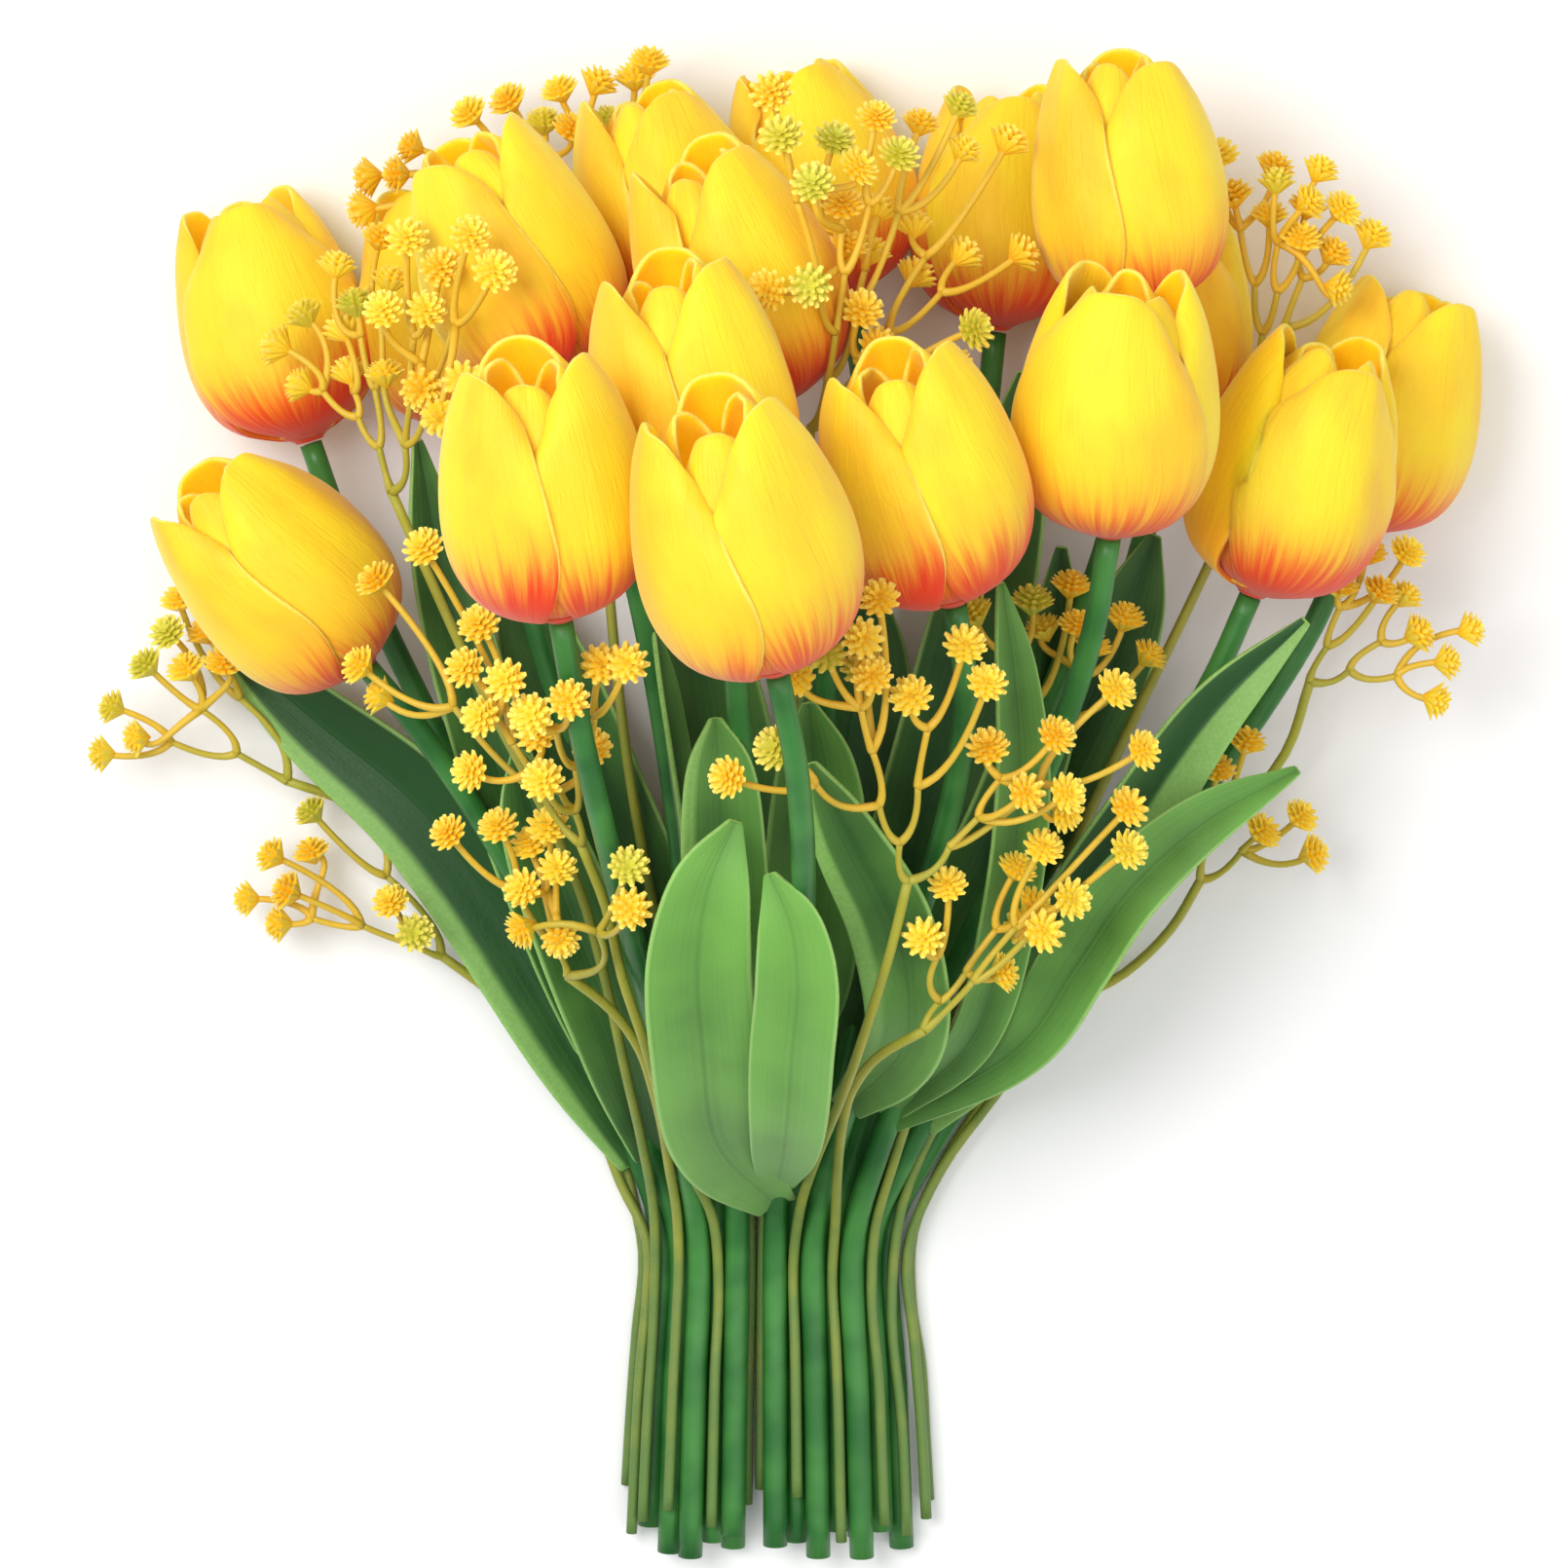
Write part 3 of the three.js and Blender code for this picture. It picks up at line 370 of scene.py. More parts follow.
# ---------------------------------------------------------------- shader values
class Value:
    """A shader value that Python's operators work on."""

    def __init__(self, finish, socket):
        self.finish = finish
        self.socket = socket

    def maths(self, operation, *terms):
        return self.finish.node("ShaderNodeMath", {"operation": operation}, dict(enumerate(terms)))

    def __add__(self, other):
        return self.maths("ADD", self, other)

    def __radd__(self, other):
        return self.maths("ADD", other, self)

    def __sub__(self, other):
        return self.maths("SUBTRACT", self, other)

    def __rsub__(self, other):
        return self.maths("SUBTRACT", other, self)

    def __mul__(self, other):
        return self.maths("MULTIPLY", self, other)

    def __abs__(self):
        return self.maths("ABSOLUTE", self)

    def between(self, low, high):
        """0 below low and 1 above high."""
        return self.finish.node("ShaderNodeMapRange",
                                {"clamp": True, "interpolation_type": "SMOOTHSTEP"},
                                {"Value": self, "From Min": low, "From Max": high})


class Finish:
    """A material in the making."""

    def __init__(self, name, **constants):
        self.material = bpy.data.materials.new(name)
        self.material.use_nodes = True
        self.tree = self.material.node_tree
        self.shader = self.tree.nodes["Principled BSDF"]
        for socket, value in constants.items():
            self.shader.inputs[socket.replace("_", " ")].default_value = value

    def node(self, kind, settings=None, inputs=None, output=0):
        """Any node: its type, its settings and the values or links of its sockets."""
        made = self.tree.nodes.new(kind)
        for name, value in (settings or {}).items():
            setattr(made, name, value)
        for key, value in (inputs or {}).items():
            if isinstance(value, Value):
                self.tree.links.new(value.socket, made.inputs[key])
            else:
                made.inputs[key].default_value = value
        return Value(self, made.outputs[output])

    def blend(self, share, first, second, kind="MIX"):
        """A colour between two others."""
        return self.node("ShaderNodeMix", {"data_type": "RGBA", "blend_type": kind},
                         {0: share, 6: first, 7: second}, 2)

    def uv(self):
        place = self.node("ShaderNodeUVMap", {"uv_map": "grid"})
        split = self.node("ShaderNodeSeparateXYZ", inputs={0: place})
        return split, Value(self, split.socket.node.outputs[1])

    def own(self, name):
        """A number that a piece carries on its mesh."""
        return self.node("ShaderNodeAttribute", {"attribute_name": name}, output=2)

    def place(self):
        return self.node("ShaderNodeTexCoord", output=3)

    def xyz(self, x, y, z):
        return self.node("ShaderNodeCombineXYZ", inputs={0: x, 1: y, 2: z})

    def noise(self, at, scale, detail=2.0, rough=0.5):
        return self.node("ShaderNodeTexNoise", {"noise_dimensions": "3D"},
                         {"Vector": at, "Scale": scale, "Detail": detail, "Roughness": rough})

    def use(self, **sockets):
        for name, value in sockets.items():
            self.tree.links.new(value.socket, self.shader.inputs[name.replace("_", " ")])

    def bump(self, height, distance, strength=1.0):
        self.use(Normal=self.node("ShaderNodeBump", inputs={
            "Height": height, "Distance": distance, "Strength": strength}))


def colour(red, green, blue):
    """A shader colour from the numbers of a picture's colour."""
    def linear(value):
        share = value / 255
        return share / 12.92 if share <= 0.04045 else ((share + 0.055) / 1.055) ** 2.4
    return (linear(red), linear(green), linear(blue), 1.0)


# ---------------------------------------------------------------- finishes
def petal_finish(name, yellow, gold, orange, red, depth, rim, painted_glow=0.0):
    """Soft foam, yellow with fine veins, and orange red streaks that rise from the base."""
    # A faint emission in the petal's own colour is painted light: a glow for light that comes
    # through the foam.
    f = Finish(name, Roughness=0.6, IOR=1.4, Sheen_Weight=0.2, Sheen_Roughness=0.4,
               Subsurface_Weight=depth, Subsurface_Radius=(1.0, 0.7, 0.1), Subsurface_Scale=0.003,
               Emission_Strength=painted_glow)
    across, along = f.uv()
    blush = f.own("blush")
    part = f.own("part")
    lengthwise = f.xyz(across * 38, along * 2.4, part * 17)
    veins = f.noise(lengthwise, 1.0, 3, 0.55)
    strands = f.noise(f.xyz(across * 90, along * 4, part * 31), 1.0, 2)
    cloud = f.noise(f.xyz(across * 3, along * 2.2, part * 11), 1.0, 2)
    grain = f.noise(f.place(), 900, 3)
    folds = f.noise(f.xyz(across * 15, along * 3.4, part * 29 + veins * 0.8), 1.0, 2, 0.5)
    wrinkle = 1 - abs(folds - 0.5).between(0.0, 0.05)
    edge = abs(across * 2 - 1)
    # Golden in random clouds, and golden towards one side of every petal: that side is painted
    # shade, for the side turned from the light.
    gold_tone_and_painted_shade = cloud.between(0.35, 0.65) * 0.6 + across.between(0.3, 1.0) * 0.5
    shade = f.blend(gold_tone_and_painted_shade, yellow, gold)
    shade = f.blend(along.between(0.05, 0.55), gold, shade)
    height = along - blush * 0.14 - across.between(0.4, 1.0) * blush * 0.15 - veins * 0.34 + 0.17
    shade = f.blend((1 - height.between(-0.04, 0.36)) * 0.8, shade, orange)
    shade = f.blend(1 - height.between(-0.02, 0.23), shade, red)
    if rim:
        # A pale painted highlight along the petal's edges.
        rim_highlight = (edge - veins * 0.04).between(0.93, 0.965)
        shade = f.blend(rim_highlight * along.between(0.3, 0.55) * 0.75, shade, rim)
    shade = f.blend(strands * 0.13, shade, f.blend(0.5, shade, gold, "MULTIPLY"))
    f.use(Base_Color=shade, Emission_Color=shade, Roughness=0.5 + grain * 0.2)
    f.bump(veins * 0.6 + strands * 0.25 + grain * 0.14 - wrinkle * 0.16, 0.0006, 0.6)
    return f.material


def petal_rim_finish():
    """The cut edge of the foam, paler and porous."""
    f = Finish("petal_rim", Roughness=0.75, IOR=1.4, Subsurface_Weight=0.08)
    along = f.uv()[1]
    pores = f.noise(f.place(), 2600, 2)
    spots = f.noise(f.place(), 700, 2)
    pale = f.blend(spots, colour(255, 240, 120), colour(254, 222, 70))
    foot = 1 - (along - f.own("blush") * 0.2).between(0.02, 0.2)
    shade = f.blend(foot, pale, colour(240, 120, 40))
    shade = f.blend(pores.between(0.55, 0.7) * 0.3, shade, colour(235, 190, 50))
    f.use(Base_Color=shade)
    f.bump(pores, 0.0004, 0.7)
    return f.material


def leaf_finish(name, dark, light, rim):
    """Smooth foam leaf with veins along it, lighter towards its edges and in its band."""
    f = Finish(name, Roughness=0.5, IOR=1.42, Sheen_Weight=0.15)
    across, along = f.uv()
    tone, band = f.own("tone"), f.own("band")
    edge = abs(across * 2 - 1)
    veins = f.noise(f.xyz(across * 26, along * 1.6, tone * 23), 1.0, 3, 0.55)
    cloud = f.noise(f.place(), 45, 2)
    grain = f.noise(f.place(), 1100, 2)
    share = tone + (cloud - 0.5) * 0.45 + (veins - 0.5) * 0.16 + (edge - 0.5) * 0.2
    shade = f.blend(share.between(0.05, 0.95), dark, light)
    # The middle crease is dented by the bump and darkened as painted shade.
    crease_dip_and_painted_shade = 1 - edge.between(0.0, 0.07)
    shade = f.blend(crease_dip_and_painted_shade * 0.15, shade, dark)
    shade = f.blend(edge.between(0.9, 0.97) * 0.7, shade, rim)
    margin = (band + (cloud - 0.5) * 0.4).between(0.0, 1.0)
    shade = f.blend(margin * 0.8, shade, f.blend(grain, light, rim))
    f.use(Base_Color=shade, Roughness=0.42 + grain * 0.2)
    f.bump(veins * 0.35 + grain * 0.2 - crease_dip_and_painted_shade * 0.3, 0.0006, 0.6)
    return f.material


def leaf_rim_finish():
    """The cut edge of a leaf, paler and porous."""
    f = Finish("leaf_rim", Roughness=0.75)
    pores = f.noise(f.place(), 2600, 2)
    spots = f.noise(f.place(), 400, 2)
    shade = f.blend(spots, colour(168, 212, 118), colour(130, 185, 86))
    f.use(Base_Color=f.blend(pores.between(0.5, 0.7) * 0.5, shade, colour(90, 145, 58)))
    f.bump(pores, 0.0004, 0.7)
    return f.material


def stem_finish():
    """Satin plastic stem with faint lines along it."""
    f = Finish("stem_plastic", Roughness=0.35, IOR=1.46)
    around, along = f.uv()
    lines = f.noise(f.xyz(around * 14, along * 3, 0.0), 1.0, 2)
    cloud = f.noise(f.place(), 60, 2)
    grain = f.noise(f.place(), 1500, 2)
    shade = f.blend(cloud.between(0.3, 0.7), colour(36, 104, 42), colour(70, 142, 62))
    shade = f.blend(lines * 0.4, shade, colour(28, 84, 34))
    f.use(Base_Color=shade, Roughness=0.3 + grain * 0.2)
    f.bump(lines * 0.7 + grain * 0.2, 0.0004, 0.5)
    return f.material


def stalk_finish():
    """Moulded plastic stalk, green at the foot and mustard yellow near the florets."""
    f = Finish("stalk_plastic", Roughness=0.42, IOR=1.46)
    ripe = f.own("ripe")
    cloud = f.noise(f.place(), 110, 2)
    grain = f.noise(f.place(), 1600, 2)
    share = ripe + (cloud - 0.5) * 0.35
    shade = f.blend(share.between(0.0, 0.5), colour(98, 130, 62), colour(168, 166, 56))
    shade = f.blend(share.between(0.5, 1.05), shade, colour(228, 186, 52))
    f.use(Base_Color=shade, Roughness=0.38 + grain * 0.2)
    f.bump(grain, 0.0003, 0.4)
    return f.material


def floret_finish():
    """Golden plastic florets with pale petal tips and a deeper middle."""
    f = Finish("floret_plastic", Roughness=0.5, IOR=1.45, Subsurface_Weight=0.05)
    reach, hue = f.own("reach"), f.own("hue")
    grain = f.noise(f.place(), 1500, 2)
    deep = f.blend(hue.between(0.0, 0.5), colour(236, 162, 18), colour(246, 190, 28))
    body = f.blend(hue.between(0.0, 0.7), colour(249, 202, 40), colour(255, 222, 60))
    shade = f.blend(reach.between(0.1, 0.55), deep, body)
    shade = f.blend(hue.between(0.84, 0.97) * (1 - reach.between(0.5, 1.0) * 0.5), shade,
                    colour(208, 204, 66))
    shade = f.blend(reach.between(0.7, 1.0) * 0.75, shade, colour(255, 238, 120))
    f.use(Base_Color=shade, Roughness=0.45 + grain * 0.2)
    f.bump(grain, 0.0003, 0.4)
    return f.material


# The outside's last colour is the painted highlight along its edges.
PETAL_OUTSIDE = petal_finish("petal_outside", colour(255, 226, 42), colour(252, 196, 42),
                             colour(244, 140, 50), colour(230, 62, 22), 0.3, colour(255, 240, 124))
# The inside glows faintly, painted light for light that comes through the foam.
PETAL_INSIDE = petal_finish("petal_inside", colour(255, 216, 22), colour(255, 200, 14),
                            colour(254, 194, 22), colour(250, 172, 24), 0.75, None, 0.14)
PETAL_RIM = petal_rim_finish()
LEAF_BLADE = leaf_finish("leaf_blade", colour(26, 76, 26), colour(116, 176, 74),
                         colour(160, 202, 116))
LEAF_RIM = leaf_rim_finish()
STEM_PLASTIC = stem_finish()
STALK_PLASTIC = stalk_finish()
FLORET_PLASTIC = floret_finish()


# ---------------------------------------------------------------- mesh work
class Form:
    """A mesh in the making, with a grid UV and the numbers that its finishes read."""

    def __init__(self, *numbers):
        self.mesh = bmesh.new()
        self.grid = self.mesh.loops.layers.uv.new("grid")
        self.numbers = {name: self.mesh.verts.layers.float.new(name) for name in numbers}

    def sheet(self, columns, rows, place, slot=0, seam=False, low=0.0, **numbers):
        """A sheet of squares. place(u, v) gives the point of each corner, in mm of the bunch."""
        bm = self.mesh
        made = bmesh.ops.create_grid(bm, x_segments=columns, y_segments=rows, size=0.5,
                                     calc_uvs=True)["verts"]
        for vert in made:
            u, v = vert.co.x + 0.5, vert.co.y + 0.5
            for name, value in numbers.items():
                vert[self.numbers[name]] = value(u, v) if callable(value) else value
            at = place(u, v)
            vert.co = shipped(vec(at[0], at[1], max(at[2], low)))
        for face in {face for vert in made for face in vert.link_faces}:
            face.material_index = slot
            face.smooth = True
        if seam:
            bmesh.ops.remove_doubles(bm, verts=made, dist=1e-6)
        return made

    def tube(self, line, radius, slot=0, sides=10, rows=24, guide=(0, 0, 1), **numbers):
        """A round tube along a curve, capped at its ends. radius(v) is its radius on the way."""
        places = [line.point(row / rows) for row in range(rows + 1)]
        tangents = [line.tangent(row / rows) for row in range(rows + 1)]
        side = unit(np.cross(tangents[0], np.array(guide, float)))
        frames = []
        for tangent in tangents:
            side = unit(side - tangent * (side @ tangent))
            frames.append((side, np.cross(tangent, side)))

        def place(u, v):
            row = round(v * rows)
            angle = 2 * math.pi * u
            one, other = frames[row]
            return places[row] + radius(v) * (one * math.cos(angle) + other * math.sin(angle))

        for face in self.cap(self.sheet(sides, rows, place, slot, True, **numbers)):
            face.material_index = slot
            face.smooth = True

    def cap(self, made):
        """Closes the ends of a tube and gives the faces that close them."""
        rims = [edge for edge in {e for v in made if v.is_valid for e in v.link_edges}
                if edge.is_boundary]
        return bmesh.ops.holes_fill(self.mesh, edges=rims, sides=0)["faces"]

    def finish(self, name, materials, node, slot):
        """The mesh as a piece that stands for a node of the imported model."""
        bm = self.mesh
        bmesh.ops.recalc_face_normals(bm, faces=bm.faces[:])
        data = bpy.data.meshes.new(name)
        bm.to_mesh(data)
        bm.free()
        piece = bpy.data.objects.new(name, data)
        bpy.context.collection.objects.link(piece)
        for material in materials:
            data.materials.append(material)
        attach(piece, "root")
        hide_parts(node)
        return piece


def thicken(piece, thick):
    """Gives a sheet the thickness of foam, with its own finish inside and on the cut edge."""
    wall = piece.modifiers.new("foam", "SOLIDIFY")
    wall.thickness = thick * MM
    wall.offset = 0
    wall.material_offset = 1
    wall.material_offset_rim = 2
    smooth = piece.modifiers.new("smooth", "SUBSURF")
    smooth.levels = smooth.render_levels = 1


# ---------------------------------------------------------------- blooms
# Radius of the cup and width of a petal, as shares of the largest, from base to tip.
CUP = [0.2, 0.74, 0.94, 1.0, 0.99, 0.94, 0.86, 0.76, 0.62]
INNER_CUP = [0.2, 0.74, 0.94, 1.0, 0.99, 0.94, 0.84, 0.7, 0.5]
WIDTH = [0.45, 0.82, 0.95, 1.0, 1.0, 0.99, 0.96, 0.91, 0.8]
# How deep the ripples of a petal's edge and the crease along its middle are, in mm.
RIPPLE = 0.28
CREASE = 0.35


def bloom_frame(row):
    """The frame of a bloom, with its base at the stem's top and its axis along the flower."""
    _, px, py, z, lean, rise, _, size = row[:8]
    lean, rise = math.radians(lean), math.radians(rise)
    axis = vec(math.sin(lean) * math.cos(rise), math.cos(lean) * math.cos(rise), math.sin(rise))
    base = spot(px, py, z) - axis * BLOOM["length"] * size / 2
    turn = Vector((0, 0, 1)).rotation_difference(Vector(axis)).to_matrix()
    return {"axis": axis, "base": base, "turn": np.array(turn), "size": size}


def petal_place(bloom, turn, half, inset, draw):
    """Gives the function that places the corners of one petal. Each outer petal lies over the next
    one, and a petal that faces up lies over both of its neighbours."""
    size = bloom["size"]
    facing = bloom["turn"] @ vec(math.cos(math.radians(turn)), math.sin(math.radians(turn)), 0)
    front = 0 if inset else ramp(facing[2], 0.84, 0.97)
    tall = BLOOM["length"] * size * (draw.uniform(0.94, 1.0) if inset else draw.uniform(0.97, 1.03))
    rounding = draw.uniform(0.2, 0.25)
    power = draw.uniform(2.3, 3.0)
    curl = draw.uniform(-2.2, -0.6)
    skew = draw.uniform(1, 5)
    side_lean = draw.uniform(-0.14, 0.14)
    waves = [(draw.uniform(0, 6.28), draw.uniform(0.1, 0.3)) for _ in range(3)]
    cup, spread = (INNER_CUP, 0.35) if inset else (CUP, 0.0)

    def place(u, v):
        across = 2 * u - 1
        wide = profile(WIDTH, v) * (1 + spread * ramp(v, 0.6, 1.0))
        angle = math.radians(turn + across * half * wide
                             + skew * math.sin(2 * math.pi * v))
        radius = max(profile(cup, v) * BLOOM["radius"] * size - inset, 2.6)
        over = across * (1 - front) + (1.9 - 0.9 * across) * front
        radius += over * PETAL["overlap"] * ramp(v, 0.0, 0.22)
        radius += curl * ramp(v, 0.8, 1.05) * (0.4 + 0.6 * across * across)
        for order, (phase, depth) in enumerate(waves):
            wave = math.sin(across * (3 + 4 * order) + phase + 2.2 * v * (order - 1))
            radius += wave * depth * ramp(v, 0.1, 0.4)
        edge = ramp(abs(across), 0.6, 1.0)
        radius += RIPPLE * edge * math.sin(14 * v + waves[0][0] + 3 * across)
        radius -= CREASE * math.exp(-(across / 0.14) ** 2) * ramp(v, 0.5, 0.95)
        lobe = abs(across - side_lean * v) ** power
        foot = RECEPTACLE["height"] * 0.5 * (1 - ramp(v, 0, 0.1))
        rise = foot + tall * (v - rounding * lobe * v ** 4)
        local = vec(radius * math.cos(angle), radius * math.sin(angle), rise)
        return bloom["base"] + bloom["turn"] @ local

    return place


def make_bloom(row, draw):
    bloom = bloom_frame(row)
    name, turn, size = row[0], row[6], row[7]
    form = Form("blush", "part")
    for petal in range(3):
        for inner in (False, True):
            half = PETAL["inner_half"] if inner else PETAL["outer_half"]
            centre = turn + 120 * petal + (60 if inner else 0)
            place = petal_place(bloom, centre, half, BLOOM["inset"] if inner else 0, draw)
            form.sheet(16, 22, place, low=PETAL["thick"] / 2 + SKIN,
                       blush=draw.uniform(0.1, 1.0), part=draw.random())

    def cup(u, v):
        angle = 2 * math.pi * u
        wide = RECEPTACLE["low"] + (RECEPTACLE["high"] - RECEPTACLE["low"]) * ramp(v, 0, 1)
        return bloom["base"] + bloom["turn"] @ vec(
            wide * math.cos(angle), wide * math.sin(angle), RECEPTACLE["height"] * v)

    piece = form.finish(f"bloom_{name}", [PETAL_OUTSIDE, PETAL_INSIDE, PETAL_RIM],
                        f"tulip_{name}_bloom", "petal")
    thicken(piece, PETAL["thick"])

    base = Form("blush", "part")
    base.cap(base.sheet(24, 6, cup, 0, True, blush=4.0, part=0.5))
    base.finish(f"receptacle_{name}", [PETAL_OUTSIDE], f"tulip_{name}_bloom", "petal")

    for along, wide in ((0.16, 0.66), (0.38, 0.97), (0.58, 0.94), (0.8, 0.72)):
        centre = bloom["base"] + bloom["axis"] * along * BLOOM["length"] * size
        balls.take([centre], wide * BLOOM["radius"] * size + 1.3)


# ---------------------------------------------------------------- leafy stems
# Half width of a leaf from root to tip, as a share of the largest: of the solid, and of the piece.
BLADE = [0.34, 0.78, 0.96, 1.0, 0.98, 0.86, 0.6, 0]
FINE_BLADE = [0.4, 0.78, 0.95, 1.0, 0.98, 0.88, 0.64, 0.12]


def stem_points(row, bloom):
    """A stem runs straight to the neck, then bends over into the axis of its bloom."""
    neck_x, neck_z = row[8:]
    neck = vec(neck_x, STEM["neck"], neck_z)
    end = vec(neck_x * STEM["spread"], STEM["end"], neck_z)
    end = end + (neck - end) * STEM["stagger"] * ((int(row[0]) + 1) % 3)
    top = bloom["base"] - bloom["axis"] * 2 * GAP
    reach = length(top - neck) / 3
    first = neck + vec(0, 1, 0) * reach * 0.35 + unit(top - neck) * reach * 0.5
    last = top - bloom["axis"] * reach * 0.8
    return [end, (end + neck) / 2] + [bezier(neck, first, last, top, i / 8) for i in range(9)]


def leaf_rib(stem, row):
    """The middle line of a leaf, from its stem to its tip."""
    spots = [spot(*place) for place in row[4]]
    line = Line(stem).spaced(90)
    root = min(line, key=lambda point: abs(point[1] - spots[0][1]))
    return Line([root] + spots[1:])


def leaf_sides(rib, t, roll):
    """The directions across a leaf and off its face, rolled round its rib."""
    along = rib.tangent(t)
    side = unit(np.cross(along, vec(0, 0, 1)))
    up = unit(np.cross(side, along))
    turn = roll * min(1, 2 * t)
    return turned(side, along, turn), turned(up, along, turn)


def take_leaf(stem, row):
    """Leaves balls along a leaf."""
    rib = leaf_rib(stem, row)
    half_width, fold, roll = row[1], math.radians(row[2]), row[3]
    points = []
    for step in range(25):
        t = step / 24
        side, up = leaf_sides(rib, t, roll)
        for column in range(7 if step < 24 else 1):
            across = (2 * column / 6 - 1) if step < 24 else 0
            half = half_width * eased(BLADE, t) * across
            points.append(rib.point(t) + side * half * math.cos(fold)
                          + up * (abs(half) * math.sin(fold) + 0.65))
    balls.take(points, 1.3)


def make_leafy_stem(row, bloom, draw):
    points = stem_points(row, bloom)
    name = row[0]
    form = Form("tone")
    line = Line(points)
    form.tube(line, lambda v: STEM["radius"] * (1.0 - 0.1 * ramp(v, 0.3, 1.0)), 2, 16, 48, tone=0.5)
    form.finish(f"stem_{name}", [LEAF_BLADE, LEAF_BLADE, STEM_PLASTIC],
                f"tulip_{name}_leafy_stem", "leaf")
    balls.take(line.spaced(70), STEM["radius"])
    for number, leaf in enumerate(entry for entry in LEAVES if entry[0] == name):
        make_leaf(points, leaf, f"leaf_{name}_{number + 1}", draw)
        take_leaf(points, leaf)


def make_leaf(stem, row, name, draw):
    rib = leaf_rib(stem, row)
    half_width, fold, roll = row[1], math.radians(row[2]), row[3]
    waves, wave = draw.uniform(0, 6.28), draw.uniform(0.3, 0.8)
    rows = 40
    cache = [(rib.point(step / rows), *leaf_sides(rib, step / rows, roll))
             for step in range(rows + 1)]

    def place(u, v):
        at, side, up = cache[round(v * rows)]
        across = 2 * u - 1
        half = half_width * profile(FINE_BLADE, v) * across
        lift = abs(half) * math.sin(fold) * ramp(abs(across), 0, 0.4)
        lift += wave * math.sin(9 * v + waves + (2 if across > 0 else 0)) * across ** 2
        return at + side * half * math.cos(fold) + up * lift

    heights = [place[2] for place in row[4]]
    # Lower leaves get a darker tone, painted shade for their place deep in the bunch, with a random
    # part.
    tone = 0.16 + 0.6 * sum(heights) / len(heights) / 100 + draw.uniform(-0.06, 0.06)
    side, width, dark = BANDS.get(name, (0, 0, 0))

    # The leaf darkens beyond a third of its length: painted shade inside the folded leaf.
    def shadow(u, v):
        return tone - dark * ramp(v, 0.3, 0.5)

    def band(u, v):
        return (width - (u if side < 0 else 1 - u)) * 10 + 0.5

    form = Form("tone", "band")
    form.sheet(14, rows, place, low=LEAF_THICK / 2 + SKIN, tone=shadow,
               band=band if side else -1.0)
    piece = form.finish(name, [LEAF_BLADE, LEAF_BLADE, LEAF_RIM],
                        f"tulip_{row[0]}_leafy_stem", "leaf")
    thicken(piece, LEAF_THICK)


# ---------------------------------------------------------------- sprays
# The layers of a floret: petals, then the radius and height of their tips and of the gaps between
# them, then the height of the layer's middle above and below.
FLORET_LAYERS = [
    (11, 4.5, 1.3, 3.2, 0.5, 0.9, -2.4),
    (10, 3.9, 2.5, 2.7, 1.7, 1.4, -1.5),
    (8, 2.9, 3.4, 1.95, 2.6, 2.0, -0.4),
    (5, 1.7, 3.9, 1.0, 3.2, 2.6, 0.4),
]


def floret_mesh():
    """One floret: layers of blunt petals, each a low double pyramid with a notched rim."""
    bm = bmesh.new()
    reach = bm.verts.layers.float.new("reach")
    blunt = 0.3
    shares = (0, 0.5 - blunt / 2, 0.5 + blunt / 2)
    for order, (petals, wide, tip, narrow, gap, top, bottom) in enumerate(FLORET_LAYERS):
        made = bmesh.ops.create_uvsphere(bm, u_segments=3 * petals, v_segments=2, radius=1)["verts"]
        share = 2 * math.pi / petals
        for vert in made:
            if abs(vert.co.z) > 0.5:
                high = vert.co.z > 0
                vert.co = Vector((0, 0, top if high else bottom))
                vert[reach] = 0.05 if high else 0.0
                continue
            place = round(math.atan2(vert.co.y, vert.co.x) / share * 3) % (3 * petals)
            kind = place % 3
            angle = (place // 3 + shares[kind]) * share + order * 0.35
            size, rise = (wide, tip) if kind else (narrow, gap)
            vert.co = Vector((size * math.cos(angle), size * math.sin(angle), rise))
            vert[reach] = 1.0 if kind else 0.4
    bmesh.ops.recalc_face_normals(bm, faces=bm.faces[:])
    mesh = bpy.data.meshes.new("floret_pattern")
    bm.to_mesh(mesh)
    bm.free()
    return mesh


FLORET_PATTERN = floret_mesh()


def stalk_points(row):
    """A stalk runs beside the stems from its end to the neck, and on to its main fork."""
    name, neck_x, neck_z, way = row[:4]
    neck = vec(neck_x, STEM["neck"], neck_z)
    end = vec(neck_x * STEM["spread"], STALK["end"] + STALK["stagger"] * (int(name) % 4), neck_z)
    line = Line([end, (end + neck) / 2, neck] + [spot(*place) for place in way])
    points = [balls.clear_of(point, STALK["radius"]) for point in line.spaced(STALK["steps"])]
    return balls.clear_path(points, STALK["radius"], False)


def arm_points(fork, tip, heading):
    """A curved arm that leaves its fork sideways and turns towards its tip."""
    span = tip - fork
    side = span - heading * (span @ heading) * 0.7
    first = fork + side * 0.45
    last = tip - heading * 0.3 * length(span)
    middle = bezier(fork, first, last, tip, 0.5)
    return balls.clear_path([fork, middle, tip], STALK["arm"], True)


def curved_arm(arm, heading):
    """The same arm as a smooth U, which leaves its fork sideways and ends along its heading."""
    fork, middle, tip = arm
    span = tip - fork
    reach = length(span)
    side = span - heading * (span @ heading)
    first = fork + side * 0.75 + heading * reach * 0.04
    last = tip - heading * reach * 0.5
    push = (middle - bezier(fork, first, last, tip, 0.5)) * 0.6
    return [bezier(fork, first, last, tip, i / 6) + push * 4 * i / 6 * (1 - i / 6)
            for i in range(7)]


def along_path(path):
    """Points along a path, no further apart than a stalk is thick."""
    points = [path[0]]
    for a, b in zip(path, path[1:]):
        count = math.ceil(length(b - a) / (2 * STALK["radius"]))
        points += [a + (b - a) * part / count for part in range(1, count + 1)]
    return points


def flat(groups):
    return [tip for group in groups for tip in group]


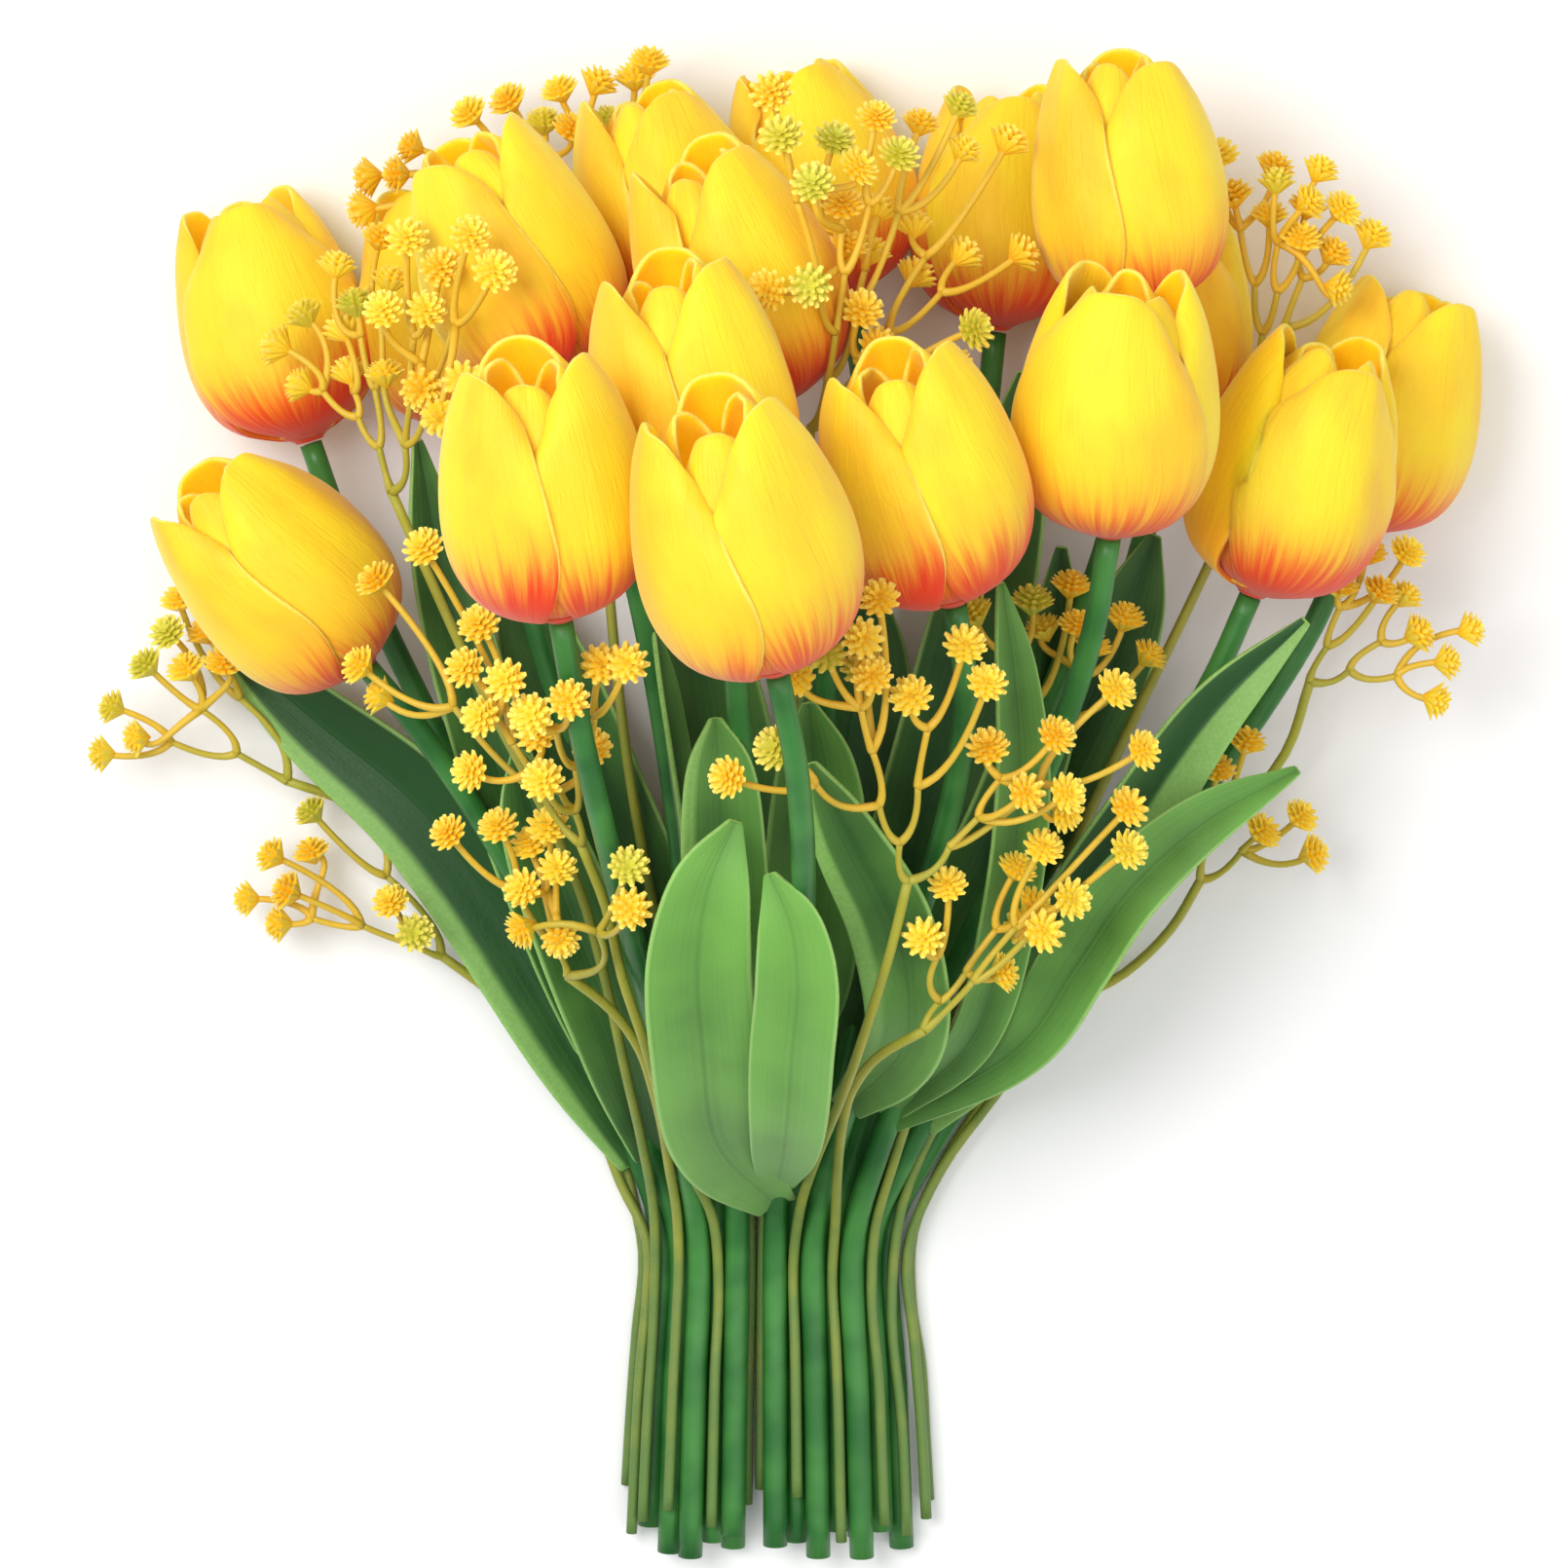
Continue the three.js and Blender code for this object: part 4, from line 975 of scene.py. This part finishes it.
def halved(start, heading, groups):
    """The groups of a fork, or the tips of its only group, in two halves from side to side."""
    items = groups if len(groups) > 1 else [[tip] for tip in groups[0]]
    across = np.cross(heading, vec(0, 0, 1))

    def turn(item):
        span = np.mean(item, axis=0) - start
        return math.atan2(span @ across, span @ heading)

    ordered = sorted(items, key=turn)
    half = math.ceil(len(ordered) / 2)
    halves = [ordered[:half], ordered[half:]]
    return halves if len(groups) > 1 else [[flat(part)] for part in halves]


def fork_point(start, groups):
    """The place of the next fork, on the way to the middle of its florets."""
    most = max(len(group) for group in groups)
    forks = math.ceil(math.log2(len(groups))) + math.ceil(math.log2(most))
    middle = np.mean(flat(groups), axis=0)
    return balls.clear_of(start + (middle - start) / (1 + forks), STALK["arm"])


class Spray:
    """The arms and florets of one spray."""

    def __init__(self):
        self.arms = []
        self.forks = []
        self.florets = []

    def branch(self, start, inward, groups, order):
        ahead = unit(np.mean(flat(groups), axis=0) - start)
        heading = unit(inward + ahead)
        self.forks.append((start, heading, order))
        parts = halved(start, heading, groups)
        lone = [len(flat(part)) == 1 for part in parts]
        goals = [part[0][0] if single else fork_point(start, part)
                 for part, single in zip(parts, lone)]
        for part, single, goal in zip(parts, lone, goals):
            arm = arm_points(start, goal, heading)
            onward = unit(goal - arm[1])
            balls.take(along_path(arm), STALK["arm"])
            self.arms.append((curved_arm(arm, heading), order))
            if single:
                self.florets.append((goal, onward))
            else:
                self.branch(goal, onward, part, order + 1)


def make_spray(row, draw):
    name = row[0]
    stalk = stalk_points(row)
    heading = unit(stalk[-1] - stalk[-2])
    balls.take(along_path(stalk), STALK["radius"])
    groups, extra = [], []
    for height, spots in row[4]:
        group = []
        for index, (px, py) in enumerate(spots):
            if index % 3 == 2:
                extra.append(spot(px, py, height))
                continue
            tip = balls.clear_of(spot(px, py, height), FLORET["radius"])
            balls.take([tip], FLORET["radius"])
            group.append(tip)
        groups.append(group)
    spray = Spray()
    spray.branch(stalk[-1], heading, groups, 1)
    for goal in extra:
        tip = balls.clear_of(goal, FLORET["radius"])
        balls.take([tip], FLORET["radius"])
        start, ahead, order = min(spray.forks, key=lambda fork: abs(length(fork[0] - tip) - 16))
        arm = arm_points(start, tip, ahead)
        balls.take(along_path(arm), STALK["arm"])
        spray.arms.append((curved_arm(arm, ahead), order))
        spray.florets.append((tip, unit(tip - arm[1])))

    form = Form("ripe", "reach", "hue")
    for tip, outward in spray.florets:
        add_floret(form, tip, unit(outward + vec(0, 0, 1) * ramp(tip[2], 60, 100)), draw)
    wide, thin = STALK["radius"], STALK["arm"]
    form.tube(Line(stalk), lambda v: wide * (1.1 - 0.15 * v), 0, 10, 44, ripe=lambda u, v: 0.5 * v)
    for arm, order in spray.arms:
        start = thin * 1.2 if order > 1 else wide * 0.95
        end = thin * 0.92
        form.tube(Line(arm), lambda v, a=start, b=end: a + (b - a) * ramp(v, 0, 0.5), 0, 8, 10,
                  ripe=min(1.0, 0.45 + 0.15 * order))
    form.finish(f"spray_piece_{name}", [STALK_PLASTIC, FLORET_PLASTIC], f"spray_{name}", "floret")


def add_floret(form, tip, outward, draw):
    bm = form.mesh
    count = len(bm.verts)
    faces = len(bm.faces)
    bm.from_mesh(FLORET_PATTERN)
    bm.verts.ensure_lookup_table()
    bm.faces.ensure_lookup_table()
    made = bm.verts[count:]
    turn = Vector((0, 0, 1)).rotation_difference(Vector(outward)).to_matrix().to_4x4()
    roll = Matrix.Rotation(draw.uniform(0, 6.28), 4, "Z")
    size = draw.uniform(0.98, 1.12) * MM
    matrix = Matrix.Translation(shipped(tip - outward * FLORET["height"] * 0.35)) @ turn @ roll
    bmesh.ops.transform(bm, matrix=matrix @ Matrix.Scale(size, 4), verts=made)
    hue = draw.random()
    for vert in made:
        vert[form.numbers["hue"]] = hue
        vert.co.z = max(vert.co.z, 0)
    for face in bm.faces[faces:]:
        face.material_index = 1


# ---------------------------------------------------------------- the bunch
random_bloom = random.Random(11)
random_leaf = random.Random(23)
random_floret = random.Random(37)
frames = {}
for entry in TULIPS:
    frames[entry[0]] = bloom_frame(entry)
    make_bloom(entry, random_bloom)
for entry in TULIPS:
    make_leafy_stem(entry, frames[entry[0]], random_leaf)
for entry in SPRAYS:
    make_spray(entry, random_floret)
bpy.data.meshes.remove(FLORET_PATTERN)


# ---------------------------------------------------------------- floor, light and camera
def make_floor():
    bm = bmesh.new()
    bmesh.ops.create_grid(bm, x_segments=1, y_segments=1, size=3)
    data = bpy.data.meshes.new("floor")
    bm.to_mesh(data)
    bm.free()
    floor = bpy.data.objects.new("floor", data)
    bpy.context.collection.objects.link(floor)
    f = Finish("floor_paper", Roughness=0.9)
    cloud = f.noise(f.place(), 30, 2)
    f.use(Base_Color=f.blend(cloud * 0.2, colour(250, 250, 250), colour(244, 244, 244)))
    data.materials.append(f.material)


def make_light(name, place, target, size, power, tint=(1, 1, 1)):
    lamp = bpy.data.lights.new(name, "AREA")
    lamp.shape = "DISK"
    lamp.size = size
    lamp.energy = power
    lamp.color = tint
    piece = bpy.data.objects.new(name, lamp)
    bpy.context.collection.objects.link(piece)
    place = Vector(place)
    piece.location = place
    piece.rotation_euler = (Vector(target) - place).to_track_quat("-Z", "Y").to_euler()


make_floor()
make_light("key", (-0.5, 0.4, 1.1), (0, 0.05, 0.06), 0.7, 10)
make_light("fill", (0.8, -0.2, 0.9), (0, 0, 0.06), 1.0, 3)
make_light("top", (0.1, 0.1, 1.6), (0, 0, 0), 1.2, 5)
world = bpy.data.worlds.new("studio")
world.use_nodes = True
world.node_tree.nodes["Background"].inputs["Color"].default_value = (1, 1, 1, 1)
world.node_tree.nodes["Background"].inputs["Strength"].default_value = 0.48
bpy.context.scene.world = world
bpy.context.scene.view_settings.view_transform = "Standard"

tilt = math.radians(VIEW["tilt"])
target = shipped((VIEW["x"], VIEW["y"], VIEW["z"]))
back = Vector((0, math.sin(tilt), math.cos(tilt)))
camera = bpy.data.cameras.new("camera")
camera.sensor_width = 36
camera.lens = camera.sensor_width / 2 / (VIEW["middle"] * VIEW["scale"] / VIEW["distance"])
viewer = bpy.data.objects.new("camera", camera)
bpy.context.collection.objects.link(viewer)
across = Vector((1, 0, 0))
upward = back.cross(across)
viewer.matrix_world = Matrix.LocRotScale(target + back * VIEW["distance"] * MM, Matrix(
    (across, upward, back)).transposed(), None)
bpy.context.scene.camera = viewer
